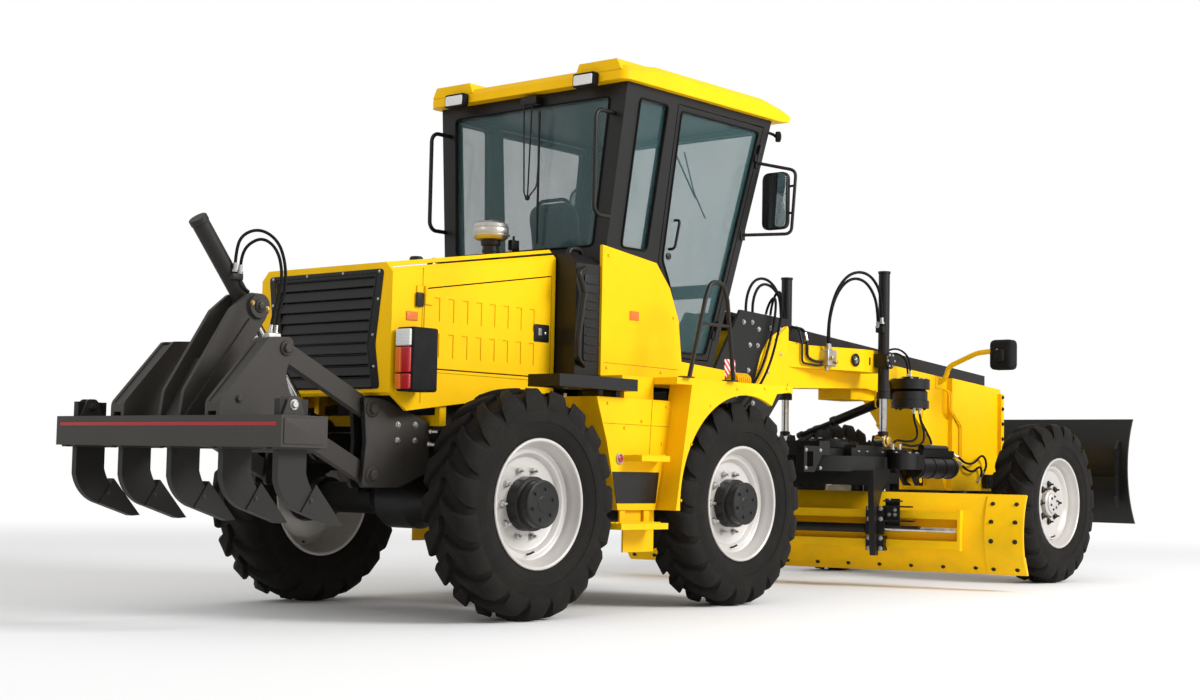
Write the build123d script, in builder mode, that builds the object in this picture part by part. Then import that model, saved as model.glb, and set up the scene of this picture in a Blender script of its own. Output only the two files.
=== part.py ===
from build123d import *
from math import atan2, cos, radians, sin
import os

os.makedirs("parts", exist_ok=True)

# Motor grader, in millimetres: +X forward, +Y to the left, +Z up, wheels standing on Z = 0.
# The origin is on the ground under the middle of the machine's length.
# Every x below is counted forward from the rear axle, and the helpers move it into place.
rear_axle_x = -2870
running = 0.06          # radial clearance of a shaft in its bore
seat_gap = 0.5          # gap between faces that slide on each other
door_gap = 7            # gap round a door that opens
hinge_radius = 10
hinge_stand = 14        # how far a door hinge's axis stands off the skin
sides = (("right", -1), ("left", 1))

# Wheels
hub_height = 640        # axle height, which is the tyre's radius out to the lugs
mid_axle = 1912
front_axle_x = 6152
drive_track = 890       # middle of a drive wheel from the centreline
steer_track = 1000
tyre_width = 340
lug_count = 14
lug_depth = 30
lug_width = 118
tread_root = hub_height - lug_depth
shoulder_radius = 556
bead_width = 260
rim_radius = 352
rim_seat = rim_radius - 2
rim_wall = 14
rim_tube = rim_radius - rim_wall
rim_width = 284
flat_count = 2 * lug_count
tyre_bore = rim_radius + 1

# Chassis rails
rail_inner = 340
rail_outer = 430
rail_bottom = 800
rail_top = 1060
rail_rear = -500
deck_bottom = 1360
deck_top = 1400
deck_inner = 620
deck_outer = 1060
cab_floor = 1440

# Cab
cab_top = 3200
window_head = cab_top - 80
door_head_z = cab_top - 60
cab_wall = 50
pane = 8
pane_inset = 18
# x rear, x front, half width
cab_foot = (900, 2110, 610)
cab_head = (985, 2520, 795)

# Hood
hood_half = 546
hood_skin = 22
hood_rear = -690
hood_front = 640
intake_radius = 48

# Ripper linkage, chassis pins and the link's reach to the frame's pins
hitch_upper = (-730, 1140)
hitch_lower = (-722, 782)
link_reach = (-610, 288)
link_pin = 22
link_thick = 50
link_high = 100
clevis_plate = 25
clevis_inner = (rail_inner, rail_inner + clevis_plate)
clevis_outer = (rail_outer, rail_outer + clevis_plate)
link_inner = (clevis_inner[1] + clevis_outer[0] - link_thick) / 2

# Blade, circle and drawbar
circle_x = 4360
circle_radius = 500
circle_ring = 90
circle_bottom = 860
circle_top = 975
drawbar_bottom = circle_top + seat_gap
drawbar_top = 1060
ball_x = 5800
ball_z = 800
ball_radius = 40
blade_angle = 14.3
blade_half = 1600
lift_x = 4565
lift_y = 450
trunnion_z = 1710
lift_eye_z = 1100
barrel_radius = 43
lift_rod_radius = 29


def side_plane(y):
    """Drawing plane of a side view, its origin over the rear axle."""
    return Plane(origin=(rear_axle_x, y, 0), x_dir=(1, 0, 0), z_dir=(0, -1, 0))


def end_plane(x):
    """Drawing plane of an end view, with y across and z up."""
    return Plane(origin=(rear_axle_x + x, 0, 0), x_dir=(0, 1, 0), z_dir=(1, 0, 0))


def plan_plane(z):
    """Drawing plane of a plan view, its origin over the rear axle."""
    return Plane(origin=(rear_axle_x, 0, z), x_dir=(1, 0, 0), z_dir=(0, 0, 1))


def outline_face(plane, outline):
    """A closed outline of straight runs on a drawing plane."""
    with BuildSketch(plane) as drawn:
        with BuildLine():
            Polyline(*outline, close=True)
        make_face()
    return drawn.sketch


def plate(outline, y_span, mode=Mode.ADD):
    """A plate cut to a side view, between two values of y."""
    low, high = sorted(y_span)
    extrude(outline_face(side_plane(high), outline), amount=high - low, mode=mode)


def profile(outline, x_span, mode=Mode.ADD):
    """A bar with an end view's outline, between two values of x."""
    low, high = x_span
    extrude(outline_face(end_plane(low), outline), amount=high - low, mode=mode)


def slab(outline, z_span, mode=Mode.ADD):
    """A slab with a plan view's outline, between two heights."""
    low, high = z_span
    extrude(outline_face(plan_plane(low), outline), amount=high - low, mode=mode)


def block(x_span, y_span, z_span, mode=Mode.ADD):
    """A square-cornered block between two values on each axis."""
    spans = [sorted(span) for span in (x_span, y_span, z_span)]
    middle = [(low + high) / 2 for low, high in spans]
    with Locations((rear_axle_x + middle[0], middle[1], middle[2])):
        Box(*[high - low for low, high in spans], mode=mode)


def bar(start, end, radius, mode=Mode.ADD):
    """A round bar from one point to another."""
    first = Vector(rear_axle_x + start[0], start[1], start[2])
    last = Vector(rear_axle_x + end[0], end[1], end[2])
    with BuildSketch(Plane(origin=first, z_dir=last - first)) as disc:
        Circle(radius)
    extrude(disc.sketch, amount=(last - first).length, mode=mode)


def tube(points, radius, bend):
    """A round tube along straight runs with bends of one radius between them."""
    corners = [(rear_axle_x + x, y, z) for x, y, z in points]
    with BuildLine() as route:
        FilletPolyline(*corners, radius=bend)
    with BuildSketch(Plane(origin=route.line @ 0, z_dir=route.line % 0)) as section:
        Circle(radius)
    sweep(section.sketch, path=route.line)


def turned(profile_points, centre, base_y, side, mode=Mode.ADD):
    """A turned piece on an axle's line: its profile is reach outward from base_y, and radius."""
    x, z = centre
    with BuildSketch(Plane(origin=(rear_axle_x + x, base_y, z), x_dir=(0, side, 0), z_dir=(-side, 0, 0))) as half:
        with BuildLine():
            Polyline(*profile_points, close=True)
        make_face()
    revolve(half.sketch, axis=Axis((rear_axle_x + x, base_y, z), (0, 1, 0)), mode=mode)


def rounded(plane, outline, radii):
    """An outline whose corners are rounded, each by its own radius, or left sharp at 0."""
    with BuildSketch(plane) as drawn:
        with BuildLine():
            Polyline(*outline, close=True)
        make_face()
        for corner, radius in zip(outline, radii):
            if radius:
                fillet(drawn.vertices().sort_by_distance((corner[0], corner[1], 0))[0], radius)
    return drawn.sketch


def rounded_plate(outline, radii, y_span, mode=Mode.ADD):
    """A plate cut to a side view with rounded corners, between two values of y."""
    low, high = sorted(y_span)
    extrude(rounded(side_plane(high), outline, radii), amount=high - low, mode=mode)


def cab_solid(inset, floor, ceiling, mode=Mode.ADD):
    """The cab's tapering body, drawn in from its outer faces by the inset."""
    rises = ((floor - cab_floor) / (cab_top - cab_floor), (ceiling - cab_floor) / (cab_top - cab_floor))
    faces = []
    for rise, height in zip(rises, (floor, ceiling)):
        rear, front, half = [foot + (head - foot) * rise for foot, head in zip(cab_foot, cab_head)]
        corners = [(rear + inset, -half + inset), (front - inset, -half + inset),
                   (front - inset, half - inset), (rear + inset, half - inset)]
        faces.append(outline_face(plan_plane(height), corners).face())
    loft(faces, mode=mode)


def cab_half_width(height):
    """Half the cab's width over its outer faces at a height."""
    rise = (height - cab_floor) / (cab_top - cab_floor)
    return cab_foot[2] + (cab_head[2] - cab_foot[2]) * rise


def cab_rear(height):
    """Where the cab's rear face is at a height."""
    return cab_foot[0] + (cab_head[0] - cab_foot[0]) * (height - cab_floor) / (cab_top - cab_floor)


def grown(outline, amount):
    """The same outline with its edges moved out, or in where the amount is negative."""
    with BuildSketch() as drawn:
        with BuildLine():
            Polyline(*outline, close=True)
        make_face()
        offset(amount=amount, kind=Kind.INTERSECTION)
    corners = drawn.sketch.face().outer_wire().order_edges()
    return [(edge.position_at(0).X, edge.position_at(0).Y) for edge in corners]


def save(builder, name):
    """Label a finished piece and write it to its own file."""
    builder.part.label = name
    export_step(builder.part, f"parts/{name}.step")


# Chassis: two rails, crossmembers, ripper hitch, cab beams and the bolted neck mount
hitch_plate = [(-795, 1200), (-650, 1200), (-290, 1080), (-290, rail_bottom), (-520, 712), (-795, 712),
               (-770, 960)]
hitch_corners = (14, 60, 50, 60, 60, 30, 120)   # its corners' radii
neck_mount = [(2180, rail_bottom), (2900, rail_bottom), (3480, 1400), (3560, 1480), (3560, 1960), (2960, 1985),
              (2560, 1400), (2180, rail_top)]
crossmembers = ((-500, -440), (420, 520), (1300, 1400), (2180, 2280))   # x from, x to
cab_beams = ((1000, 1090), (2010, 2100))                                # x from, x to
ram_foot = (-680, 950)
with BuildPart() as main_frame:
    for _, side in sides:
        block((rail_rear, 2300), (side * rail_inner, side * rail_outer), (rail_bottom, rail_top))
        for near, far in (clevis_inner, clevis_outer):
            rounded_plate(hitch_plate, hitch_corners, (side * near, side * far))
        for x, z in (hitch_upper, hitch_lower):
            bar((x, side * clevis_inner[0], z), (x, side * clevis_outer[1], z), link_pin)
        plate(neck_mount, (side * 225, side * 250))
        for rear, front in cab_beams:
            block((rear, front), (side * rail_inner, side * rail_outer), (rail_top, deck_bottom))
    for rear, front in crossmembers:
        block((rear, front), (-rail_inner, rail_inner), (rail_bottom + 40, rail_top - 40))
    for rear, front in cab_beams:
        block((rear, front), (-deck_inner, deck_inner), (deck_bottom, cab_floor))
    for side in (-1, 1):
        plate([(-500, 900), (-500, 1010), (-660, 1010), (-740, 980), (-740, 900), (-690, 860)],
              (side * 32, side * 57))
save(main_frame, "main_frame")

# Drive line: both driven axles, their stub spindles, gearbox and shafts
axle_tube = 92
axle_flange = 120
spindle_radius = 45
drive_spindle_end = 912
with BuildPart() as drive_line:
    for axle in (0, mid_axle):
        bar((axle, -700, hub_height), (axle, 700, hub_height), axle_tube)
        turned([(-230, 0), (-230, axle_tube + 6), (-110, 168), (110, 168), (230, axle_tube + 6), (230, 0)],
               (axle, hub_height), 0, 1)
        for _, side in sides:
            bar((axle, side * 690, hub_height), (axle, side * 800, hub_height), axle_flange)
            bar((axle, side * 790, hub_height), (axle, side * drive_spindle_end, hub_height), spindle_radius)
            block((axle - 90, axle + 90), (side * rail_inner, side * rail_outer), (hub_height + 20, rail_bottom))
    block((700, 1240), (-240, 240), (560, rail_bottom + 120))
    bar((100, 0, hub_height + 20), (720, 0, hub_height + 20), 36)
    bar((1230, 0, hub_height + 20), (1800, 0, hub_height + 20), 36)
    block((760, 860), (-rail_inner, rail_inner), (rail_bottom + 30, rail_bottom + 110))
save(drive_line, "drive_line")

# Engine, one plain block on the rails
with BuildPart() as engine:
    block((-220, 420), (-390, 390), (rail_top, 1700))
save(engine, "engine")

# Hood, an open-bottomed shell with a grille opening and a doorway each side
hood_side = [(hood_rear, 1230), (-560, 1135), (hood_front, 1290), (hood_front, 2148), (hood_rear, 1940)]
hood_inside = [(hood_rear + hood_skin, 1000), (hood_front + 10, 1000), (hood_front + 10, 2129),
               (hood_rear + hood_skin, 1918)]
hood_hinge = (-450, hood_half + hinge_stand)
hood_knuckles = ((1425, 1475), (1725, 1775))    # z from, z to of the door's knuckle
hood_door = [(-450, 1370), (610, 1370), (610, 1985), (-450, 1815)]
slot_size = (46, 130)           # width and height of the door's pressed slots
slot_pitch = 112
slot_rows = (1440, 1640)
slot_first = -370
grille_rim = [(-420, 1250), (-370, 1490), (-430, 1885), (430, 1885), (370, 1490), (420, 1250)]
with BuildPart() as hood:
    plate(hood_side, (-hood_half, hood_half))
    crown = [e for e in hood.edges().filter_by(lambda e: abs(e.center().Y) > hood_half - 1)
             if e.center().Z > 2000 and e.length > 1000]
    chamfer(crown, 55)
    plate(hood_inside, (-hood_half + hood_skin, hood_half - hood_skin), mode=Mode.SUBTRACT)
    plate(hood_door, (-hood_half - 5, hood_half + 5), mode=Mode.SUBTRACT)
    profile(grille_rim, (hood_rear - 10, hood_rear + hood_skin + 10), mode=Mode.SUBTRACT)
    bar((560, -80, 2050), (560, -80, 2200), intake_radius + seat_gap, mode=Mode.SUBTRACT)
    for rear, front in ((-285, -235), (540, 590)):
        block((rear, front), (-hood_half + hood_skin, hood_half - hood_skin), (rail_top, rail_top + 60))
        for _, side in sides:
            block((rear, front), (side * (hood_half - hood_skin), side * (hood_half - 60)), (rail_top, 1330))
    for _, side in sides:
        for _, low in hood_knuckles:
            block((hood_hinge[0] - 60, hood_hinge[0]), (side * hood_half, side * (hood_half + 8)),
                  (low + seat_gap, low + 50))
            bar((hood_hinge[0], side * hood_hinge[1], low + seat_gap), (hood_hinge[0], side * hood_hinge[1], low + 50),
                hinge_radius)
save(hood, "hood")

# Grille, a frame with sloping louvres across it
louvre_count = 9
grille_frame = 22
grille_inner = grown(grille_rim, -grille_frame)
with BuildPart() as grille:
    profile(grown(grille_rim, -seat_gap), (hood_rear + 2, hood_rear + 42))
    profile(grille_inner, (hood_rear, hood_rear + 50), mode=Mode.SUBTRACT)
    for index in range(louvre_count):
        height = 1310 + index * 64
        half = 360 + abs(height - 1490) * (0.208 if height < 1490 else 0.152)
        plate([(hood_rear + 8, height), (hood_rear + 34, height + 26), (hood_rear + 34, height + 32),
               (hood_rear + 8, height + 6)], (-half, half))
save(grille, "grille")

# Hood doors, hinged at their rear edge outside the skin
for name, side in sides:
    with BuildPart() as hood_leaf:
        plate(grown(hood_door, -door_gap), (side * (hood_half - hood_skin), side * hood_half))
        for low in slot_rows:
            for index in range(8):
                start = slot_first + index * slot_pitch
                block((start, start + slot_size[0]), (side * (hood_half - 5), side * (hood_half + 5)),
                      (low, low + slot_size[1]), mode=Mode.SUBTRACT)
        for low, high in hood_knuckles:
            block((hood_hinge[0], hood_hinge[0] + 60), (side * hood_half, side * (hood_half + 8)), (low, high))
            bar((hood_hinge[0], side * hood_hinge[1], low), (hood_hinge[0], side * hood_hinge[1], high), hinge_radius)
    save(hood_leaf, f"hood_door_{name}")

# Black housing between hood and cab with a pipe down each side, and a black bar over each tank
bar_top = 1370
with BuildPart() as service_housing:
    profile([(-430, rail_top), (430, rail_top), (430, 1360), (700, 1360), (700, 2060), (640, 2120),
             (-640, 2120), (-700, 2060), (-700, 1360), (-430, 1360)], (650, 870))
    for _, side in sides:
        tube([(740, side * 690, 2035), (632, side * 735, 2000), (690, side * 735, 1880), (640, side * 735, 1600),
              (640, side * 735, 1490), (740, side * 690, 1450)], 17, 24)
        block((180, 880), (side * 760, side * 1000), (1300, bar_top))
        for start in (640, 800):
            block((start, start + 40), (side * 780, side * 900), (1262, 1305))
save(service_housing, "service_housing")

# Cab shell: tapering walls with their windows cut
door_outline = [(1690, 1562), (2068, 1562), (2430, door_head_z), (1505, door_head_z), (1455, 2150), (1560, 2000),
                (1650, 1800)]
quarter_window = [(1075, 2200), (1325, 2200), (1400, window_head), (1120, window_head)]
rear_window = [(-580, 2200), (580, 2200), (660, window_head), (-660, window_head)]
windscreen = [(-590, 2080), (590, 2080), (690, window_head), (-690, window_head)]
foot_window = [(-520, 1560), (520, 1560), (560, 2000), (-560, 2000)]
door_foot = door_outline[1]
door_head = door_outline[2]
door_hinges = ((1700, 1760), (cab_top - 300, cab_top - 240))      # z from, z to of the door's knuckle


def door_edge(height):
    """Where the door's hinged edge is at a height."""
    rise = (height - door_foot[1]) / (door_head[1] - door_foot[1])
    return door_foot[0] + (door_head[0] - door_foot[0]) * rise


def door_knuckle(side, low, high, reach):
    """A hinge knuckle on the door's axis, with a lug that reaches from it along the wall."""
    ends = []
    for height in (low, high):
        ends.append((door_edge(height) + door_gap / 2, side * (cab_half_width(height) + hinge_stand), height))
    bar(ends[0], ends[1], hinge_radius)
    foot, head = low + 6, high - 6
    skin = cab_half_width((low + high) / 2)
    start = door_gap if reach > 0 else 0
    plate([(door_edge(foot) + start, foot), (door_edge(foot) + start + reach, foot),
           (door_edge(head) + start + reach, head), (door_edge(head) + start, head)],
          (side * (skin - 12), side * (skin + hinge_stand)))


with BuildPart() as cab_frame:
    cab_solid(0, cab_floor, cab_top)
    cab_solid(cab_wall, cab_floor + 40, cab_top - 40, mode=Mode.SUBTRACT)
    plate(grown(door_outline, door_gap), (-1000, 1000), mode=Mode.SUBTRACT)
    plate(quarter_window, (-1000, 1000), mode=Mode.SUBTRACT)
    profile(rear_window, (850, 1150), mode=Mode.SUBTRACT)
    profile(windscreen, (2000, 2700), mode=Mode.SUBTRACT)
    profile(foot_window, (1950, 2400), mode=Mode.SUBTRACT)
    for _, side in sides:
        for low, high in door_hinges:
            door_knuckle(side, high + seat_gap, high + 60, 30)
save(cab_frame, "cab_frame")

# Panes of the cab, each set back in its opening
with BuildPart() as cab_glass:
    cab_solid(pane_inset, cab_floor + 60, cab_top - 60)
    cab_solid(pane_inset + pane, cab_floor + 50, cab_top - 50, mode=Mode.SUBTRACT)
    with BuildPart(mode=Mode.PRIVATE) as openings:
        for _, side in sides:
            plate(grown(quarter_window, -seat_gap), (side * 560, side * 900))
        profile(grown(rear_window, -seat_gap), (850, 1150))
        profile(grown(windscreen, -seat_gap), (2150, 2700))
        profile(grown(foot_window, -seat_gap), (1950, 2400))
    add(openings.part, mode=Mode.INTERSECT)
save(cab_glass, "cab_glass")

# Doors, each a frame with its pane
door_border = 34
for name, side in sides:
    near, far = side * 500, side * 1000
    with BuildPart() as door:
        cab_solid(0, cab_floor, cab_top)
        cab_solid(30, cab_floor - 10, cab_top + 10, mode=Mode.SUBTRACT)
        with BuildPart(mode=Mode.PRIVATE) as leaf:
            plate(door_outline, (near, far))
            plate(grown(door_outline, -door_border), (near, far), mode=Mode.SUBTRACT)
        add(leaf.part, mode=Mode.INTERSECT)
        for low, high in door_hinges:
            door_knuckle(side, low, high, -26)
    save(door, f"door_{name}")
    with BuildPart() as door_glass:
        cab_solid(10, cab_floor, cab_top)
        cab_solid(10 + pane, cab_floor - 10, cab_top + 10, mode=Mode.SUBTRACT)
        with BuildPart(mode=Mode.PRIVATE) as light:
            plate(grown(door_outline, -door_border - seat_gap), (near, far))
        add(light.part, mode=Mode.INTERSECT)
    save(door_glass, f"door_glass_{name}")

# Cab roof: a crowned slab over the shell with raised pods at its rear corners
roof_half = 840
roof_rear = 900
roof_front = 2680
roof_crown = cab_top + 128
with BuildPart() as cab_roof:
    plate([(roof_rear, cab_top), (roof_front - 120, cab_top), (roof_front - 20, cab_top + 8),
           (roof_front, cab_top + 40), (roof_front - 70, roof_crown - 34), (roof_front - 300, roof_crown),
           (roof_rear + 340, roof_crown), (roof_rear, cab_top + 85)], (-roof_half, roof_half))
    corners = cab_roof.edges().filter_by(Axis.Z).filter_by(lambda e: abs(e.center().Y) > roof_half - 5)
    fillet(corners, 70)
    chamfer([e for e in cab_roof.edges().filter_by(lambda e: abs(e.center().Y) > roof_half - 1)
             if e.center().Z > cab_top + 70 and e.length > 180], 34)
    for _, side in sides:
        profile([(side * 440, cab_top + 60), (side * 470, roof_crown), (side * 770, roof_crown),
                 (side * 805, cab_top + 60)], (roof_rear + 4, roof_rear + 345))
save(cab_roof, "cab_roof")

# Yellow panels beside the cab, curved up behind the doors
with BuildPart() as side_panels:
    for _, side in sides:
        plate([(875, deck_top), (2140, deck_top), (2140, 1500), (1672, 1528), (1635, 1790), (1540, 1985),
               (1400, 2130), (875, 2190)], (side * 692, side * 714))
save(side_panels, "side_panels")

# Platforms: deck over the mid wheel, its fascia and rear wall, the tank between the wheels and two steps
wheel_gap = 42          # clear space round a drive wheel
arch_radius = hub_height + wheel_gap
tank_outer = 920
fascia_plate = 25
tank_side = [(600, 1262), (1300, 1262), (1320, 1150), (1255, 930), (1165, 600), (810, 600), (700, 1000)]
fascia = [(1190, 600), (1330, deck_bottom - 20), (1330, deck_top), (2420, deck_top), (2420, 1365), (2240, 1345),
          (mid_axle, 900), (1300, 600)]
with BuildPart() as platforms:
    for _, side in sides:
        block((1180, 2420), (side * deck_inner, side * deck_outer), (deck_bottom, deck_top))
        block((880, 1190), (side * deck_inner, side * (tank_outer - 40)), (deck_bottom, deck_top))
        plate(fascia, (side * (deck_outer - fascia_plate), side * deck_outer))
        plate([(1190, 600), (1330, deck_bottom), (1355, deck_bottom), (1215, 600)],
              (side * (tank_outer - 30), side * deck_outer))
        plate(tank_side, (side * (deck_inner + 20), side * tank_outer))
        block((900, 1180), (side * (deck_inner + 40), side * (tank_outer - 40)), (1255, deck_bottom + 5))
        for axle in (0, mid_axle):
            bar((axle, side * (deck_inner + 10), hub_height), (axle, side * (deck_outer + 10), hub_height),
                arch_radius, mode=Mode.SUBTRACT)
        slab([(860, side * (tank_outer - 5)), (1190, side * (tank_outer - 5)), (1150, side * 1040),
              (880, side * 1040)], (890, 925))
        block((690, 1130), (side * (tank_outer - 20), side * 1050), (490, 526))
        for start in (840, 1070):
            block((start, start + 50), (side * (tank_outer - 20), side * (tank_outer - 8)), (500, 640))
        block((900, 1190), (side * 880, side * 892), (350, 610))
save(platforms, "platforms")

# Handrails: a hoop standing at each deck's edge and a grab rail down each rear corner of the cab
rail_tube = 14
rail_y = deck_outer + 22
rail_bend = 75
hoop = ((1272, deck_top + 5), (1425, 1900), (1475, 2002), (1600, 2002), (1650, 1900), (1725, deck_top + 5))
hoop_cross = 1740
grab_y = 700
grab_ends = (2370, cab_top - 190)
with BuildPart() as handrails:
    for _, side in sides:
        for x in (hoop[0][0], hoop[-1][0]):
            block((x - 35, x + 35), (side * (deck_outer - 40), side * (rail_y + rail_tube)), (deck_top, deck_top + 8))
        tube([(x, side * rail_y, z) for x, z in hoop], rail_tube, rail_bend)
        bar((1375, side * rail_y, hoop_cross), (1675, side * rail_y, hoop_cross), 10)
        low, high = grab_ends
        tube([(cab_rear(low) - 0.7, side * grab_y, low), (800, side * grab_y, low), (800, side * grab_y, high),
              (cab_rear(high) - 0.7, side * grab_y, high)], 13, 60)
save(handrails, "handrails")

# Seat and steering console
with BuildPart() as seat:
    block((1270, 1740), (-240, 240), (1860, 1990))
    plate([(1270, 1990), (1400, 1990), (1310, 2560), (1200, 2560)], (-220, 220))
    block((1380, 1640), (-150, 150), (1480, 1860))
save(seat, "seat")
with BuildPart() as steering_console:
    plate([(1940, 1480), (2050, 1480), (2040, 2080), (1960, 2080)], (-70, 70))
    with BuildSketch(Plane(origin=(rear_axle_x + 1960, 0, 2130), z_dir=(-0.6, 0, 0.8))):
        Circle(190)
        Circle(165, mode=Mode.SUBTRACT)
        Rectangle(350, 26)
    extrude(amount=22)
    bar((2000, 0, 2070), (1955, 0, 2135), 20)
save(steering_console, "steering_console")

# Lamps: tail lamps, head lamps on arms, work lamps under the roof pods
with BuildPart() as lamps:
    for _, side in sides:
        block((-670, -480), (side * (hood_half + 20), side * 700), (1240, 1580))
        block((-640, -500), (side * hood_half, side * (hood_half + 20)), (1300, 1360))
        bar((5880, side * 207.5, 1600), (5850, side * 800, 1800), 22)
        block((5770, 5900), (side * 740, side * 950), (1700, 1890))
        block((roof_rear - 32, roof_rear - seat_gap), (side * 440, side * 620), (cab_top - 5, cab_top + 75))
save(lamps, "lamps")

# Mirrors on bent tube arms
mirror_low = 2260
mirror_high = cab_top - 300
with BuildPart() as mirrors:
    for _, side in sides:
        tube([(2290, side * (cab_half_width(mirror_low) + 6.5), mirror_low), (2490, side * 1050, mirror_low - 25),
              (2530, side * 1050, mirror_high - 50),
              (2400, side * (cab_half_width(mirror_high) + 6.5), mirror_high)], 11, 60)
        with BuildSketch(end_plane(2485)):
            with Locations((side * 1000, 2565)):
                RectangleRounded(180, 390, 60)
        extrude(amount=45)
        for z in (2480, 2660):
            bar((2508, side * 1000, z), (2512, side * 1050, z), 8)
save(mirrors, "mirrors")

# Air pre-cleaner on the hood: a neck, a waisted collar and a wide bowl
with BuildPart() as pre_cleaner:
    with BuildSketch(Plane(origin=(rear_axle_x + 560, -80, 0), x_dir=(1, 0, 0), z_dir=(0, -1, 0))):
        with BuildLine():
            Polyline((0, 1990), (intake_radius, 1990), (intake_radius, 2190), (64, 2205), (64, 2222), (100, 2232),
                     (108, 2250), (108, 2300), (98, 2330), (70, 2344), (0, 2350), close=True)
        make_face()
    revolve(axis=Axis((rear_axle_x + 560, -80, 0), (0, 0, 1)))
save(pre_cleaner, "pre_cleaner")

# Gooseneck with its saddle, front post and head of the drawbar
neck_side = [(3200, 1440), (3790, 1470), (4720, 1510), (5320, 1450), (5810, 1050), (5985, 720), (6850, 720),
             (6850, 1600), (3060, 1850), (2980, 1780)]
neck_corners = (0, 200, 200, 160, 90, 40, 0, 0, 0, 60)     # its corners' radii
neck_half = 200
post_half = 250
saddle_end = 390
ball_pin = 22
with BuildPart() as gooseneck:
    rounded_plate(neck_side, neck_corners, (-neck_half, neck_half))
    plate([(6000, 720), (6850, 720), (6850, 1600), (6000, 1656)], (-post_half, post_half))
    block((6800, 6850), (-post_half - 35, post_half + 35), (970, 1560))
    block((3100, 3560), (-225, 225), (1500, 1800))
    block((4580, 4930), (-150, 150), (1420, 1520))
    for _, side in sides:
        slab([(3600, side * 190), (4380, side * saddle_end), (4640, side * saddle_end), (4640, side * 190)],
             (1620, 1790))
        bar((lift_x, side * (saddle_end - 5), trunnion_z), (lift_x, side * (saddle_end + 27), trunnion_z), 22)
        plate([(5550, 1250), (6010, 900), (6010, 1300), (5760, 1380), (5600, 1380)],
              (side * (neck_half - 5), side * (neck_half + 12)))
    block((ball_x + 20, 6000), (-30, 30), (ball_z - 35, ball_z + 35))
    with Locations((rear_axle_x + ball_x, 0, ball_z)):
        Sphere(ball_radius)
    bar((ball_x, -ball_radius - 32, ball_z), (ball_x, ball_radius + 32, ball_z), ball_pin)
save(gooseneck, "gooseneck")
with BuildPart() as neck_cover:
    plate([(3060, 1850), (6750, 1850 - 250 / 3790 * 3690), (6750, 1715), (2965, 1975)], (-150, 150))
save(neck_cover, "neck_cover")

# Front axle with its forks, kingpins and the pedestal under the post
kingpin_y = 760
knuckle_radius = 52
with BuildPart() as front_axle:
    block((front_axle_x - 75, front_axle_x + 75), (-640, 640), (560, 700))
    block((front_axle_x - 130, front_axle_x + 180), (-180, 180), (600, 720))
    for _, side in sides:
        for low, high in ((495, 530), (750, 785)):
            block((front_axle_x - 55, front_axle_x + 55), (side * 600, side * kingpin_y), (low, high))
            bar((front_axle_x, side * kingpin_y, low), (front_axle_x, side * kingpin_y, high), 55)
        block((front_axle_x - 55, front_axle_x + 55), (side * 600, side * 660), (495, 785))
        bar((front_axle_x, side * kingpin_y, 495), (front_axle_x, side * kingpin_y, 785), 20)
save(front_axle, "front_axle")

# Steering knuckles with spindle and track arm
steer_spindle = 35
steer_spindle_end = 1030
track_arm = 160
for name, side in sides:
    with BuildPart() as knuckle:
        bar((front_axle_x, side * kingpin_y, 530 + seat_gap), (front_axle_x, side * kingpin_y, 750 - seat_gap),
            knuckle_radius)
        bar((front_axle_x, side * kingpin_y, hub_height), (front_axle_x, side * steer_spindle_end, hub_height),
            steer_spindle)
        block((front_axle_x - track_arm, front_axle_x), (side * (kingpin_y - 30), side * (kingpin_y + 30)),
              (590, 620))
        bar((front_axle_x - track_arm, side * kingpin_y, 590), (front_axle_x - track_arm, side * kingpin_y, 620), 30)
        bar((front_axle_x, side * kingpin_y, 520), (front_axle_x, side * kingpin_y, 760), 20 + running,
            mode=Mode.SUBTRACT)
    save(knuckle, f"knuckle_{name}")
with BuildPart() as tie_rod:
    tie_top = 590 - seat_gap
    for _, side in sides:
        bar((front_axle_x - track_arm, side * kingpin_y, tie_top - 30),
            (front_axle_x - track_arm, side * kingpin_y, tie_top), 28)
    bar((front_axle_x - track_arm, -kingpin_y, tie_top - 15), (front_axle_x - track_arm, kingpin_y, tie_top - 15),
        14)
save(tie_rod, "tie_rod")

# Wheels: tyre with two staggered rings of lugs, rim with its disc and hub
flat_turn = 180 / flat_count
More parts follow.
